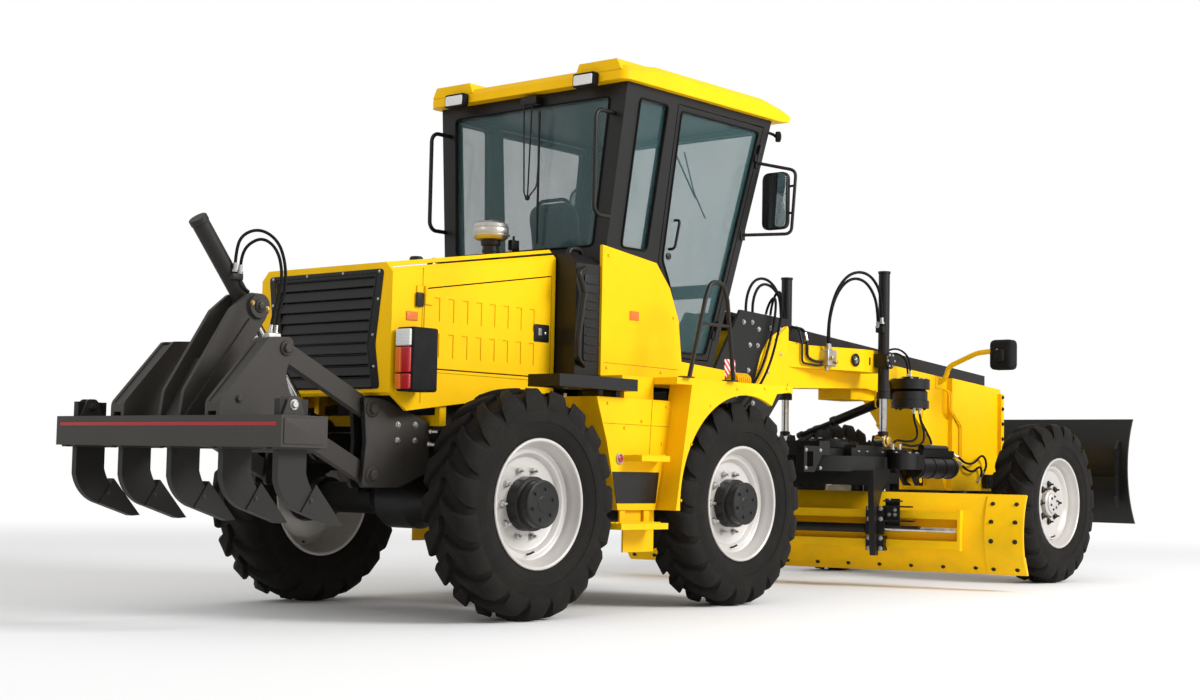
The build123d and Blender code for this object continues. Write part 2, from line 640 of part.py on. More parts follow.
# name, axle x, side, middle of the tyre, disc, hub: radius, from, to; spindle radius and end
wheels = []
for axle_name, axle in (("rear", 0), ("mid", mid_axle)):
    for side_name, side in sides:
        wheels.append((f"{axle_name}_{side_name}", axle, side, drive_track, 920, 150, 812, 1060,
                       spindle_radius, drive_spindle_end))
for side_name, side in sides:
    wheels.append((f"front_{side_name}", front_axle_x, side, steer_track, 1045, 105, 860, 1095,
                   steer_spindle, steer_spindle_end))
for name, axle, side, track, disc_y, hub_radius, hub_from, hub_to, bore, spindle_end in wheels:
    centre = (axle, hub_height)
    with BuildPart() as tyre:
        for half, start in ((-1, -90), (1, -90 + 2 * flat_turn)):
            with BuildSketch(side_plane(side * track + max(0, half) * bead_width / 2)):
                with Locations(centre):
                    RegularPolygon(tread_root, flat_count, rotation=-90 - flat_turn)
                    with PolarLocations(hub_height - lug_depth, lug_count, start_angle=start):
                        Rectangle(2 * lug_depth, lug_width)
            extrude(amount=bead_width / 2)
        for half in (-1, 1):
            stations = ((bead_width / 2, tread_root), (tyre_width / 2, shoulder_radius), (bead_width / 2, 372))
            for (near, near_radius), (far, far_radius) in zip(stations[:-1], stations[1:]):
                for reach, radius in ((near, near_radius), (far, far_radius)):
                    with BuildSketch(side_plane(side * track + half * reach)):
                        with Locations(centre):
                            RegularPolygon(radius, flat_count, rotation=-90 - flat_turn)
                loft()
        with BuildSketch(side_plane(side * track + tyre_width / 2)):
            with Locations(centre):
                RegularPolygon(tyre_bore, flat_count, rotation=-90 - flat_turn)
        extrude(amount=tyre_width, mode=Mode.SUBTRACT)
    save(tyre, f"tyre_{name}")
    hub_in, hub_out, disc, spindle = [reach - track for reach in (hub_from, hub_to, disc_y, spindle_end + 6)]
    flange = rim_width / 2
    hub_step = (disc + hub_out) / 2
    with BuildPart() as rim:
        turned([(hub_in, bore + running), (hub_in, hub_radius), (disc - 14, hub_radius), (disc - 14, 205),
                (disc - 4, 268), (disc + 16, rim_tube - 26), (flange - 40, rim_tube - 14),
                (rim_wall - flange, rim_tube - 14), (-flange, rim_tube), (-flange, rim_seat), (flange, rim_seat),
                (flange, rim_tube + 4), (flange - 20, rim_tube - 2), (flange - 30, rim_tube - 12),
                (disc + 60, rim_tube - 18), (disc + 30, rim_tube - 30), (disc + 12, 262), (disc, 205),
                (disc, hub_radius), (hub_step, hub_radius), (hub_step + 6, hub_radius - 22),
                (hub_out - 10, hub_radius - 24), (hub_out, hub_radius - 34),
                (hub_out, 0), (spindle, 0), (spindle, bore + running)], centre, side * track, side)
    save(rim, f"rim_{name}")

# Drawbar: frame from the ball to the circle, cross plate, circle drive and its motor
motor_y = -500
lift_ear = 400
with BuildPart() as drawbar:
    for _, side in sides:
        slab([(5690, side * 20), (5640, side * 80), (4640, side * lift_ear), (4260, side * lift_ear),
              (4260, side * 300), (4600, side * 300), (5500, side * 20)], (drawbar_bottom, drawbar_top))
        plate([(lift_x - 60, drawbar_top - 10), (lift_x + 60, drawbar_top - 10), (lift_x + 30, lift_eye_z + 40),
               (lift_x - 30, lift_eye_z + 40)], (side * (lift_ear - 25), side * lift_ear))
        plate([(5480, drawbar_bottom), (5480, drawbar_top), (5690, drawbar_top), (ball_x + 45, ball_z + 30),
               (ball_x + 45, ball_z - 45), (ball_x - 45, ball_z - 45), (5600, 930)],
              (side * (ball_radius + 2), side * (ball_radius + 30)))
        bar((ball_x, side * ball_radius, ball_z), (ball_x, side * (ball_radius + 40), ball_z), ball_pin + running,
            mode=Mode.SUBTRACT)
    block((4200, 4700), (-lift_ear, lift_ear), (drawbar_bottom, drawbar_top - 20))
    bar((4500, 0, drawbar_top - 30), (4500, 0, 1085), 230)
    bar((4500, 0, 1080), (4500, 0, 1110), 150)
    block((3890, 4210), (-330, 330), (drawbar_bottom, drawbar_top - 30))
    block((3760, 3900), (-400, 400), (drawbar_bottom, drawbar_top + 20))
    for _, side in sides:
        plate([(3560, 850), (3560, 1040), (3800, 1040), (3800, drawbar_bottom), (3700, 850)],
              (side * 330, side * 400))
        plate([(3600, 890), (3600, 1000), (3680, 1000), (3680, 890)], (side * 320, side * 410), mode=Mode.SUBTRACT)
    bar((4940, motor_y, 905), (5500, motor_y, 905), 84)
    bar((4780, motor_y, 885), (4780, motor_y, 1010), 120)
    block((4780, 4960), (motor_y - 90, motor_y + 90), (885, 1000))
    block((4700, 4900), (-460, -300), (drawbar_bottom, 1035))
    block((5010, 5500), (motor_y - 45, motor_y + 45), (985, 1040))
save(drawbar, "drawbar")

# Circle: the ring under the drawbar, its arms and the blade's slide brackets, all turned to the blade's angle
blade_plane_origin = Vector(rear_axle_x + circle_x, 0, 0)


def blade_plane(reach):
    """Drawing plane across the blade, its x forward off the blade and its origin at the circle's centre."""
    along = Vector(sin(radians(blade_angle)), -cos(radians(blade_angle)), 0)
    forward = Vector(cos(radians(blade_angle)), sin(radians(blade_angle)), 0)
    return Plane(origin=blade_plane_origin + along * reach, x_dir=forward, z_dir=along)


def across(outline, low, high, mode=Mode.ADD):
    """A solid with an outline across the blade, between two places along it."""
    extrude(outline_face(blade_plane(low), outline), amount=high - low, mode=mode)


rail_back = -150
rail_deep = 60
rail_heights = ((300, 360), (520, 580))
arm_places = (-520, 520)
with BuildPart() as circle:
    with BuildSketch(plan_plane(circle_bottom)):
        with Locations((circle_x, 0)):
            Circle(circle_radius)
            Circle(circle_radius - circle_ring, mode=Mode.SUBTRACT)
    extrude(amount=circle_top - circle_bottom)
    for place in arm_places:
        with BuildSketch(blade_plane(place - 22)):
            with BuildLine():
                foot_back = (rail_back - 110, 240)
                top_back = (-330, circle_bottom + 10)
                Polyline(top_back, (60, circle_bottom + 10), (60, 800))
                ThreePointArc((60, 800), (rail_back + 40, 700), (rail_back - 40, 560))
                Polyline((rail_back - 40, 560), (rail_back - 40, 240), foot_back)
                ThreePointArc(foot_back, (-300, 520), top_back)
            make_face()
        extrude(amount=44)
        for low, high in rail_heights:
            across([(rail_back - 60, low - 24), (rail_back + 30, low - 24), (rail_back + 30, low - seat_gap),
                    (rail_back - seat_gap, low - seat_gap), (rail_back - seat_gap, high + seat_gap),
                    (rail_back + 30, high + seat_gap), (rail_back + 30, high + 24), (rail_back - 60, high + 24)],
                   place - 70, place + 70)
    across([(-330, circle_bottom + 10), (-230, circle_bottom + 10), (-230, 760), (-330, 760)],
           arm_places[0], arm_places[1])
save(circle, "circle")

# Moldboard: a curved plate with two slide rails, end bits and cutting edge
with BuildPart() as moldboard:
    with BuildSketch(blade_plane(-blade_half)):
        with BuildLine():
            front_arc = ThreePointArc((70, 130), (-70, 390), (50, 700))
            Line(front_arc @ 1, (32, 712))
            back_arc = ThreePointArc((32, 712), (-88, 392), (54, 120))
            Line(back_arc @ 1, front_arc @ 0)
        make_face()
    extrude(amount=2 * blade_half)
    for low, high in rail_heights:
        across([(rail_back, low), (rail_back + rail_deep + 14, low), (rail_back + rail_deep + 14, high),
                (rail_back, high)], -1150, 1150)
    for place in (-1150, 1126):
        across([(rail_back, 290), (-60, 290), (-60, 590), (rail_back, 590)], place, place + 24)
    across([(-22, 250), (-8, 256), (96, 120), (60, 120)], -blade_half, blade_half)
save(moldboard, "moldboard")

# Lift cylinders: barrels turn on the saddle's trunnions, rods end beside the drawbar's ears
for name, side in sides:
    with BuildPart() as lift_barrel:
        bar((lift_x, side * lift_y, 1425), (lift_x, side * lift_y, 2400), barrel_radius)
        block((lift_x - 52, lift_x + 52), (side * (saddle_end + 6), side * (lift_y + 52)),
              (trunnion_z - 52, trunnion_z + 52))
        bar((lift_x, side * lift_y, 1400), (lift_x, side * lift_y, 2350), lift_rod_radius + running,
            mode=Mode.SUBTRACT)
        bar((lift_x, side * (saddle_end - 5), trunnion_z), (lift_x, side * (saddle_end + 29), trunnion_z),
            22 + running, mode=Mode.SUBTRACT)
    save(lift_barrel, f"lift_barrel_{name}")
    with BuildPart() as lift_rod:
        bar((lift_x, side * lift_y, lift_eye_z), (lift_x, side * lift_y, 1950), lift_rod_radius)
        bar((lift_x, side * (lift_ear + seat_gap), lift_eye_z), (lift_x, side * (lift_y + 24), lift_eye_z), 48)
    save(lift_rod, f"lift_rod_{name}")

# Ripper frame: slotted beam, clevis gussets on the links' pins, tower for the cylinder
beam_rear = -1762
beam_front = -1468
beam_bottom = 913
beam_top = 1069
beam_half = 938
shank_places = (-840, -420, 0, 420, 840)
shank_rear = -1710
shank_front = -1530
shank_thick = 40
tower_pin = (-1240, 1670)
tower_plate = 25
tower_inner = 70
upper_pin = (hitch_upper[0] + link_reach[0], hitch_upper[1] + link_reach[1])
lower_pin = (hitch_lower[0] + link_reach[0], hitch_lower[1] + link_reach[1])
gusset = [(-1755, beam_top), (-1755, 1140), (-1450, 1480), (-1290, 1490), (-1290, 1400), (-1345, 1300),
          (-1275, 1120), (-1290, 1000), (-1370, 1000), (beam_front, 1030), (beam_front, beam_top)]
gusset_corners = (0, 60, 30, 40, 40, 120, 60, 30, 30, 0, 0)     # its corners' radii
tower = [(-1720, beam_top), (beam_front, beam_top), (-1390, 1300), (-1172, 1625), (-1190, 1738), (-1300, 1738),
         (-1420, 1640), (-1700, 1200)]
tower_corners = (0, 0, 200, 60, 60, 60, 60, 80)
ear = [(-1700, beam_top), (-1660, 1165), (-1600, 1165), (-1560, beam_top)]
with BuildPart() as ripper_frame:
    block((beam_rear, beam_front), (-beam_half, beam_half), (beam_bottom, beam_top))
    for place in shank_places:
        block((shank_rear - seat_gap, shank_front + seat_gap), (place - shank_thick / 2, place + shank_thick / 2),
              (beam_bottom - 5, beam_top + 5), mode=Mode.SUBTRACT)
    for _, side in sides:
        for near, far in (clevis_inner, clevis_outer):
            rounded_plate(gusset, gusset_corners, (side * near, side * far))
        for x, z in (upper_pin, lower_pin):
            bar((x, side * clevis_inner[0], z), (x, side * clevis_outer[1], z), link_pin)
        rounded_plate(tower, tower_corners, (side * tower_inner, side * (tower_inner + tower_plate)))
        plate([(-1700, beam_top), (beam_front - 20, beam_top), (-1300, 1600)],
              (side * (tower_inner + tower_plate), side * (tower_inner + tower_plate + 14)))
        bar((tower_pin[0], side * (tower_inner + tower_plate - 2), tower_pin[1]),
            (tower_pin[0], side * (tower_inner + tower_plate + 20), tower_pin[1]), 66)
        plate([(-1755, 1090), (-1755, 1130), (-1460, 1460), (-1430, 1440), (-1700, 1090)],
              (side * (clevis_inner[1] - 2), side * (clevis_outer[0] + 2)))
        bar((tower_pin[0], side * (tower_inner + 10), tower_pin[1]), (tower_pin[0], side * 50, tower_pin[1]), 25)
        for place in (-840, 840):
            rounded_plate(ear, (0, 28, 28, 0), (place + side * (shank_thick / 2 + 1),
                                                place + side * (shank_thick / 2 + 15)))
    plate([(-1690, beam_top), (-1660, beam_top), (-1480, 1360), (-1510, 1380)],
          (-tower_inner - 2, tower_inner + 2))
    for place in shank_places:
        for _, side in sides:
            near = place + side * (shank_thick / 2 + 1)
            block((-1750, -1480), (near, near + side * 40), (beam_bottom - 9, beam_bottom))
save(ripper_frame, "ripper_frame")
shank_root = 760
with BuildPart() as ripper_shanks:
    for place in shank_places:
        crown_z = 1150 if abs(place) > 800 else beam_top
        with BuildSketch(side_plane(place + shank_thick / 2)):
            with BuildLine():
                Polyline((shank_rear, shank_root), (shank_rear, crown_z), (shank_front, crown_z),
                         (shank_front, shank_root + 30))
                ThreePointArc((shank_front, shank_root + 30), (-1505, 730), (-1450, 660))
                Polyline((-1450, 660), (-1490, 590))
                ThreePointArc((-1490, 590), (-1655, 655), (shank_rear, shank_root))
            make_face()
        extrude(amount=shank_thick)
        plate([(-1560, 600), (-1470, 735), (-1290, 532), (-1340, 528)],
              (place - shank_thick / 2 - 9, place + shank_thick / 2 + 9))
save(ripper_shanks, "ripper_shanks")

# Ripper links: each a pair of bars, the lower pair joined by a tube that stands clear of the cylinder
for name, pin, eye in (("upper", hitch_upper, upper_pin), ("lower", hitch_lower, lower_pin)):
    lift = atan2(link_reach[1], link_reach[0])
    normal = Vector(-sin(lift), cos(lift)) * (link_high / 2)
    with BuildPart() as link:
        for _, side in sides:
            span = (side * link_inner, side * (link_inner + link_thick))
            plate([(pin[0] + normal.X, pin[1] + normal.Y), (eye[0] + normal.X, eye[1] + normal.Y),
                   (eye[0] - normal.X, eye[1] - normal.Y), (pin[0] - normal.X, pin[1] - normal.Y)], span)
            for x, z in (pin, eye):
                bar((x, span[0], z), (x, span[1], z), link_high / 2)
        if name == "lower":
            middle = ((pin[0] + eye[0]) / 2, (pin[1] + eye[1]) / 2)
            bar((middle[0], -link_inner - 5, middle[1]), (middle[0], link_inner + 5, middle[1]), 34)
        for x, z in (pin, eye):
            bar((x, -600, z), (x, 600, z), link_pin + running, mode=Mode.SUBTRACT)
    save(link, f"ripper_{name}_link")

# Ripper cylinder, its barrel hung in the tower and its rod reaching the hitch
ram_line = Vector(ram_foot[0] - tower_pin[0], 0, ram_foot[1] - tower_pin[1])
ram_way = ram_line.normalized()
tower_point = Vector(tower_pin[0], 0, tower_pin[1])


def on_ram(distance):
    """A point on the ripper cylinder's line, counted from its trunnion towards the hitch."""
    point = tower_point + ram_way * distance
    return (point.X, 0, point.Z)


with BuildPart() as ripper_barrel:
    bar(on_ram(60), on_ram(-556), 48)
    bar((tower_pin[0], -62, tower_pin[1]), (tower_pin[0], 62, tower_pin[1]), 56)
    bar(on_ram(100), on_ram(-520), 26 + running, mode=Mode.SUBTRACT)
    for _, side in sides:
        bar((tower_pin[0], side * 48, tower_pin[1]), (tower_pin[0], side * 80, tower_pin[1]), 25 + running,
            mode=Mode.SUBTRACT)
save(ripper_barrel, "ripper_barrel")
with BuildPart() as ripper_rod:
    bar(on_ram(-120), on_ram(ram_line.length - 20), 26)
    bar((ram_foot[0], -31, ram_foot[1]), (ram_foot[0], 31, ram_foot[1]), 42)
save(ripper_rod, "ripper_rod")

# Front blade: a curved plate on two arms that swing beside the post
dozer_pin = (6560, 800)
dozer_half = 1200
dozer_x = 7380
ram_top = (6930, 1520)
ram_eye = (7150, 860)
ram_reach = 420         # length of its barrel past the upper pin
with BuildPart() as dozer_blade:
    with BuildSketch(side_plane(dozer_half)):
        with BuildLine():
            face_arc = ThreePointArc((dozer_x + 110, 463), (dozer_x - 40, 880), (dozer_x + 70, 1360))
            Line(face_arc @ 1, (dozer_x + 50, 1360))
            rear_arc = ThreePointArc((dozer_x + 50, 1360), (dozer_x - 60, 880), (dozer_x + 90, 463))
            Line(rear_arc @ 1, face_arc @ 0)
        make_face()
    extrude(amount=2 * dozer_half)
    for _, side in sides:
        plate([(dozer_pin[0] - 50, 740), (dozer_pin[0] - 50, 860), (7100, 860), (dozer_x - 40, 1000),
               (dozer_x - 40, 640), (7100, 740)], (side * 262, side * 302))
        for place in (600, 1100):
            plate([(dozer_x - 50, 600), (dozer_x - 110, 700), (dozer_x - 110, 1100), (dozer_x - 50, 1180)],
                  (side * place, side * (place + 25)))
    block((dozer_x - 120, dozer_x - 50), (-1125, 1125), (760, 860))
    for _, side in sides:
        bar((dozer_pin[0], side * 250, dozer_pin[1]), (dozer_pin[0], side * 320, dozer_pin[1]), 30 + running,
            mode=Mode.SUBTRACT)
        plate([(ram_eye[0] - 34, 815), (ram_eye[0] + 34, 815), (ram_eye[0] + 22, 905), (ram_eye[0] - 22, 905)],
              (side * 32, side * 57))
    block((ram_eye[0] - 36, ram_eye[0] + 36), (-265, 265), (740, 820))
save(dozer_blade, "dozer_blade")

# Fittings: the pins and plates that carry the front blade, and the hose swivel beside the neck
swivel = (5130, -355)
with BuildPart() as post_fittings:
    for low, high, radius in ((1370, 1430, 150), (1370, 1620, 70), (1520, 1600, 155)):
        bar((*swivel, low), (*swivel, high), radius)
    block((swivel[0] - 50, swivel[0] + 50), (swivel[1], -neck_half), (1440, 1510))
    for _, side in sides:
        bar((dozer_pin[0], side * 250, dozer_pin[1]), (dozer_pin[0], side * 312, dozer_pin[1]), 30)
        plate([(6850, 1440), (6850, 1600), (6960, 1560), (6980, 1510), (6960, 1480)], (side * 42, side * 62))
        bar((ram_top[0], side * 20, ram_top[1]), (ram_top[0], side * 50, ram_top[1]), 20)
save(post_fittings, "post_fittings")

dozer_line = Vector(ram_eye[0] - ram_top[0], 0, ram_eye[1] - ram_top[1])
dozer_way = dozer_line.normalized()


def on_dozer_ram(distance):
    """A point on the front blade's cylinder, counted from its upper pin."""
    point = Vector(ram_top[0], 0, ram_top[1]) + dozer_way * distance
    return (point.X, 0, point.Z)


with BuildPart() as dozer_barrel:
    bar(on_dozer_ram(0), on_dozer_ram(ram_reach), 38)
    bar((ram_top[0], -36, ram_top[1]), (ram_top[0], 36, ram_top[1]), 44)
    bar(on_dozer_ram(60), on_dozer_ram(ram_reach + 20), 22 + running, mode=Mode.SUBTRACT)
    for _, side in sides:
        bar((ram_top[0], side * 18, ram_top[1]), (ram_top[0], side * 60, ram_top[1]), 20 + running,
            mode=Mode.SUBTRACT)
save(dozer_barrel, "dozer_barrel")
with BuildPart() as dozer_rod:
    bar(on_dozer_ram(210), on_dozer_ram(dozer_line.length - 10), 22)
    bar((ram_eye[0], -31, ram_eye[1]), (ram_eye[0], 31, ram_eye[1]), 36)
save(dozer_rod, "dozer_rod")
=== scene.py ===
import math
import bmesh
import bpy
import numpy as np
from mathutils import Matrix, Vector


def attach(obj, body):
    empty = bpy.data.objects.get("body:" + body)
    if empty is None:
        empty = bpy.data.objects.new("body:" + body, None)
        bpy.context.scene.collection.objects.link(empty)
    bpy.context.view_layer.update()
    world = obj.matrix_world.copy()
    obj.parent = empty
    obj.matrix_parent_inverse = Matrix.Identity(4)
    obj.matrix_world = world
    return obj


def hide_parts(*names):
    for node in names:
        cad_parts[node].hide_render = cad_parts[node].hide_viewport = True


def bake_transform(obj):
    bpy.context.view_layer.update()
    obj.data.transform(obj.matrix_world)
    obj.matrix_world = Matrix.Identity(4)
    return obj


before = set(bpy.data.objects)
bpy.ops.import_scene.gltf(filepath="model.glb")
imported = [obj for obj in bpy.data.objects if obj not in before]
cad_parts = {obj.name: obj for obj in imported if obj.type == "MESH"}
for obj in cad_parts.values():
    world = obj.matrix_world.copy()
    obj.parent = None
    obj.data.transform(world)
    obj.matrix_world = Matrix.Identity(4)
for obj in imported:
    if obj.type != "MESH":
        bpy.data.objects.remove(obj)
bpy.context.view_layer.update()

rearAxle = -2.87            # the rear axle's x; points below are metres forward of it, left, and up
sides = (("right", -1), ("left", 1))
up = (0, 0, 1)

cameraSetup = {
    "place": (-10.262, -7.651, 0.834),
    "yaw": 40.03,            # degrees from straight ahead, to the left
    "pitch": 3.81,
    "roll": 1.137,
    "lens": 54.02,
}


def placeCamera(setup):
    # axes of the view: across and above the line of sight, both turned by the roll
    yaw, pitch, roll = (math.radians(setup[key]) for key in ("yaw", "pitch", "roll"))
    ahead = Vector((math.cos(pitch) * math.cos(yaw), math.cos(pitch) * math.sin(yaw), math.sin(pitch)))
    level = Vector((math.sin(yaw), -math.cos(yaw), 0))
    above = level.cross(ahead)
    right = level * math.cos(roll) + above * math.sin(roll)
    up = above * math.cos(roll) - level * math.sin(roll)
    camera = bpy.data.objects.new("camera", bpy.data.cameras.new("camera"))
    camera.data.lens = setup["lens"]
    camera.data.sensor_width = 36
    camera.matrix_world = Matrix.Translation(setup["place"]) @ Matrix((right, up, -ahead)).transposed().to_4x4()
    bpy.context.collection.objects.link(camera)
    bpy.context.scene.camera = camera


placeCamera(cameraSetup)
print("camera placed")


class Field:
    # a socket's number; sums and products of it add Math nodes
    def __init__(self, finish, socket):
        self.finish = finish
        self.socket = socket

    def reckon(self, operation, *terms):
        return self.finish.node("ShaderNodeMath", {"operation": operation}, dict(enumerate(terms)))

    def __add__(self, other):
        return self.reckon("ADD", self, other)

    def __radd__(self, other):
        return self.reckon("ADD", other, self)

    def __rsub__(self, other):
        return self.reckon("SUBTRACT", other, self)

    def __mul__(self, other):
        return self.reckon("MULTIPLY", self, other)


class Finish:
    # a material with its shader, and one method that adds any node
    def __init__(self, name, values):
        self.material = bpy.data.materials.new(name)
        self.material.use_nodes = True
        self.tree = self.material.node_tree
        self.shader = self.tree.nodes["Principled BSDF"]
        for key, value in values.items():
            self.shader.inputs[key].default_value = value
        self.place = self.node("ShaderNodeTexCoord", {}, {}, "Object")

    def node(self, kind, settings, values, output=0):
        made = self.tree.nodes.new(kind)
        for key, value in settings.items():
            setattr(made, key, value)
        for key, value in values.items():
            if isinstance(value, Field):
                self.tree.links.new(value.socket, made.inputs[key])
            else:
                made.inputs[key].default_value = value
        return Field(self, made.outputs[output])

    def noise(self, scale, detail=3.0, rough=0.5, stretch=(1, 1, 1)):
        place = self.node("ShaderNodeMapping", {}, {"Vector": self.place, "Scale": stretch})
        return self.node("ShaderNodeTexNoise", {},
                         {"Vector": place, "Scale": scale, "Detail": detail, "Roughness": rough})

    def ranged(self, value, low, high, start=0.0, end=1.0):
        return self.node("ShaderNodeMapRange", {"interpolation_type": "SMOOTHSTEP"},
                         {0: value, 1: low, 2: high, 3: start, 4: end})

    def mixed(self, factor, first, second):
        return self.node("ShaderNodeMix", {"data_type": "RGBA"}, {0: factor, 6: first, 7: second}, 2)

    def height(self):
        return self.node("ShaderNodeSeparateXYZ", {}, {0: self.place}, 2)

    def edges(self, radius):
        # the rounded normal, and where it leaves the true one: 1 minus their dot product
        soft = self.node("ShaderNodeBevel", {"samples": 4}, {"Radius": radius})
        true = self.node("ShaderNodeNewGeometry", {}, {}, "Normal")
        agree = self.node("ShaderNodeVectorMath", {"operation": "DOT_PRODUCT"}, {0: soft, 1: true}, "Value")
        return soft, 1 - agree

    def bump(self, height, strength, distance, normal=None):
        values = {"Strength": strength, "Distance": distance, "Height": height}
        if normal:
            values["Normal"] = normal
        return self.node("ShaderNodeBump", {}, values)

    def feed(self, **fields):
        for key, field in fields.items():
            self.tree.links.new(field.socket, self.shader.inputs[key.replace("_", " ")])
        return self.material


def shade(colour, factor=1.0):
    # the colour times the factor, with nothing showing through
    return (*[part * factor for part in colour], 1)


paintSetup = {
    "yellow_paint": {"colour": (0.93, 0.535, 0.002), "worn": (0.6, 0.34, 0.01), "dust": (0.52, 0.36, 0.03),
                     "rough": 0.44, "coat": 0.02, "shine": 0.1, "metal": 0.0, "grain": 260, "grainDepth": 0.0002},
    "black_paint": {"colour": (0.0052, 0.0049, 0.0046), "worn": (0.024, 0.022, 0.02), "dust": (0.024, 0.021, 0.017),
                    "rough": 0.4, "coat": 0.06, "shine": 0.3, "metal": 0.0, "grain": 300, "grainDepth": 0.0004},
    "ripper_grey": {"colour": (0.039, 0.0348, 0.03), "worn": (0.08, 0.073, 0.064), "dust": (0.06, 0.051, 0.04),
                    "rough": 0.5, "coat": 0.03, "shine": 0.3, "metal": 0.0, "grain": 220, "grainDepth": 0.0005},
    # painted shade: a darker copy of ripper_grey, standing in for the shade on the ripper's shanks and cylinder
    "ripper_painted_shade": {"colour": (0.014, 0.0128, 0.011), "worn": (0.055, 0.05, 0.043), "dust": (0.045, 0.038, 0.03),
                    "rough": 0.48, "coat": 0.03, "shine": 0.3, "metal": 0.0, "grain": 220, "grainDepth": 0.0005},
    "silver_paint": {"colour": (0.6, 0.575, 0.545), "worn": (0.42, 0.4, 0.38), "dust": (0.42, 0.38, 0.32),
                     "rough": 0.34, "coat": 0.2, "shine": 0.5, "metal": 0.35, "grain": 240, "grainDepth": 0.0003},
}
paintWear = {"edge": 0.55, "dustTop": 1.1, "dustFoot": 0.1, "dust": 0.3, "pale": 1.05, "deep": 0.93}


def paintFinish(name, setup):
    # sprayed paint: a fine orange-peel grain, a slow drift of tone, thinner at the edges, dust towards the ground
    finish = Finish(name, {"Coat Weight": setup["coat"], "Coat Roughness": 0.12, "Metallic": setup["metal"],
                           "Specular IOR Level": setup["shine"]})
    soft, edge = finish.edges(0.004)
    drift = finish.ranged(finish.noise(1.7, 4.0), 0.3, 0.7)
    grain = finish.noise(setup["grain"], 2.0)
    speckle = finish.noise(38, 5.0, 0.65)
    patches = finish.ranged(finish.noise(6, 6.0, 0.6), 0.35, 0.75)
    rubbed = finish.ranged(edge, 0.02, 0.3) * finish.ranged(speckle, 0.42, 0.62) * paintWear["edge"]
    near = finish.ranged(finish.height(), paintWear["dustTop"], paintWear["dustFoot"])
    dusty = near * patches * paintWear["dust"]
    tone = finish.mixed(drift, shade(setup["colour"], paintWear["deep"]), shade(setup["colour"], paintWear["pale"]))
    colour = finish.mixed(dusty, finish.mixed(rubbed, tone, shade(setup["worn"])), shade(setup["dust"]))
    rough = setup["rough"] + finish.ranged(speckle, 0.3, 0.7) * 0.08 + dusty * 0.5 + rubbed * 0.2
    return finish.feed(Base_Color=colour, Roughness=rough,
                       Normal=finish.bump(grain, 0.35, setup["grainDepth"], soft))


metalSetup = {
    "chrome_rod": {"colour": (0.62, 0.62, 0.61), "rough": 0.13, "scratch": 0.1, "metal": 1.0},
    "bright_steel": {"colour": (0.55, 0.54, 0.52), "rough": 0.3, "scratch": 0.22, "metal": 1.0},
    "cast_engine": {"colour": (0.03, 0.03, 0.031), "rough": 0.62, "scratch": 0.25, "metal": 0.2},
    "brass": {"colour": (0.58, 0.4, 0.13), "rough": 0.32, "scratch": 0.2, "metal": 1.0},
}


def metalFinish(name, setup):
    # metal: fine rubbing marks along one way change how it shines, with a darker film in patches
    finish = Finish(name, {"Metallic": setup["metal"]})
    soft, edge = finish.edges(0.002)
    marks = finish.noise(90, 3.0, 0.6, (1, 1, 9))
    film = finish.ranged(finish.noise(14, 5.0, 0.6), 0.45, 0.75)
    colour = finish.mixed(film, shade(setup["colour"]), shade(setup["colour"], 0.6))
    rough = setup["rough"] + finish.ranged(marks, 0.35, 0.7) * setup["scratch"] + edge * 0.2
    return finish.feed(Base_Color=colour, Roughness=rough, Normal=finish.bump(marks, 0.12, 0.0002, soft))


def rubberFinish(name, colour, grain):
    # rubber: matt, with a dusty bloom in its hollows and a fine moulded grain
    finish = Finish(name, {"Specular IOR Level": 0.17})
    soft, edge = finish.edges(0.003)
    pores = finish.noise(grain, 3.0, 0.6)
    dusty = finish.ranged(finish.noise(9, 6.0, 0.62), 0.38, 0.72) * 0.6
    bloom = (colour[0] * 1.8 + 0.002, colour[1] * 1.7 + 0.0015, colour[2] * 1.6)
    tint = finish.mixed(dusty, shade(colour), shade(bloom))
    tint = finish.mixed(finish.ranged(edge, 0.03, 0.35) * 0.5, tint, shade(colour, 2.2))
    return finish.feed(Base_Color=tint, Roughness=0.7 + finish.ranged(pores, 0.3, 0.7) * 0.18,
                       Normal=finish.bump(pores, 0.5, 0.0008, soft))


def glassFinish(name, colour, alpha):
    # tinted glass: mostly clear, with faint streaks that change how it shines
    finish = Finish(name, {"Base Color": shade(colour), "Specular IOR Level": 0.6, "Coat Weight": 0.3})
    film = finish.ranged(finish.noise(2.4, 4.0, 0.55, (1, 1, 0.35)), 0.4, 0.75)
    return finish.feed(Roughness=0.02 + film * 0.05, Alpha=alpha + film * 0.06)


def lensFinish(name, colour, ribs=40, skin=0.35):
    # moulded lens: fine ribs up and down under a clear skin
    finish = Finish(name, {"Coat Weight": skin, "Coat Roughness": 0.03, "Roughness": 0.3})
    wave = finish.node("ShaderNodeTexWave", {"wave_type": "BANDS", "bands_direction": "Z"},
                       {"Vector": finish.place, "Scale": ribs, "Distortion": 0.0})
    return finish.feed(Base_Color=finish.mixed(wave, shade(colour, 0.72), shade(colour)),
                       Normal=finish.bump(wave, 0.5, 0.001))


def clothFinish(name, colour):
    # woven seat cloth: two crossed waves of thread with a worn, paler nap
    finish = Finish(name, {"Sheen Weight": 0.25, "Roughness": 0.9})
    warp, weft = (finish.node("ShaderNodeTexWave", {"bands_direction": way},
                              {"Vector": finish.place, "Scale": 160.0, "Distortion": 0.6}) for way in "YZ")
    nap = finish.ranged(finish.noise(7, 5.0), 0.35, 0.7)
    return finish.feed(Base_Color=finish.mixed(nap * 0.6, shade(colour), shade(colour, 2.0)),
                       Normal=finish.bump(warp * weft, 0.6, 0.0008))


def mirrorFinish(name, colour):
    # silvered glass, with a faint haze
    finish = Finish(name, {"Metallic": 1.0, "Base Color": shade(colour)})
    return finish.feed(Roughness=0.04 + finish.ranged(finish.noise(5, 4.0), 0.4, 0.8) * 0.06)


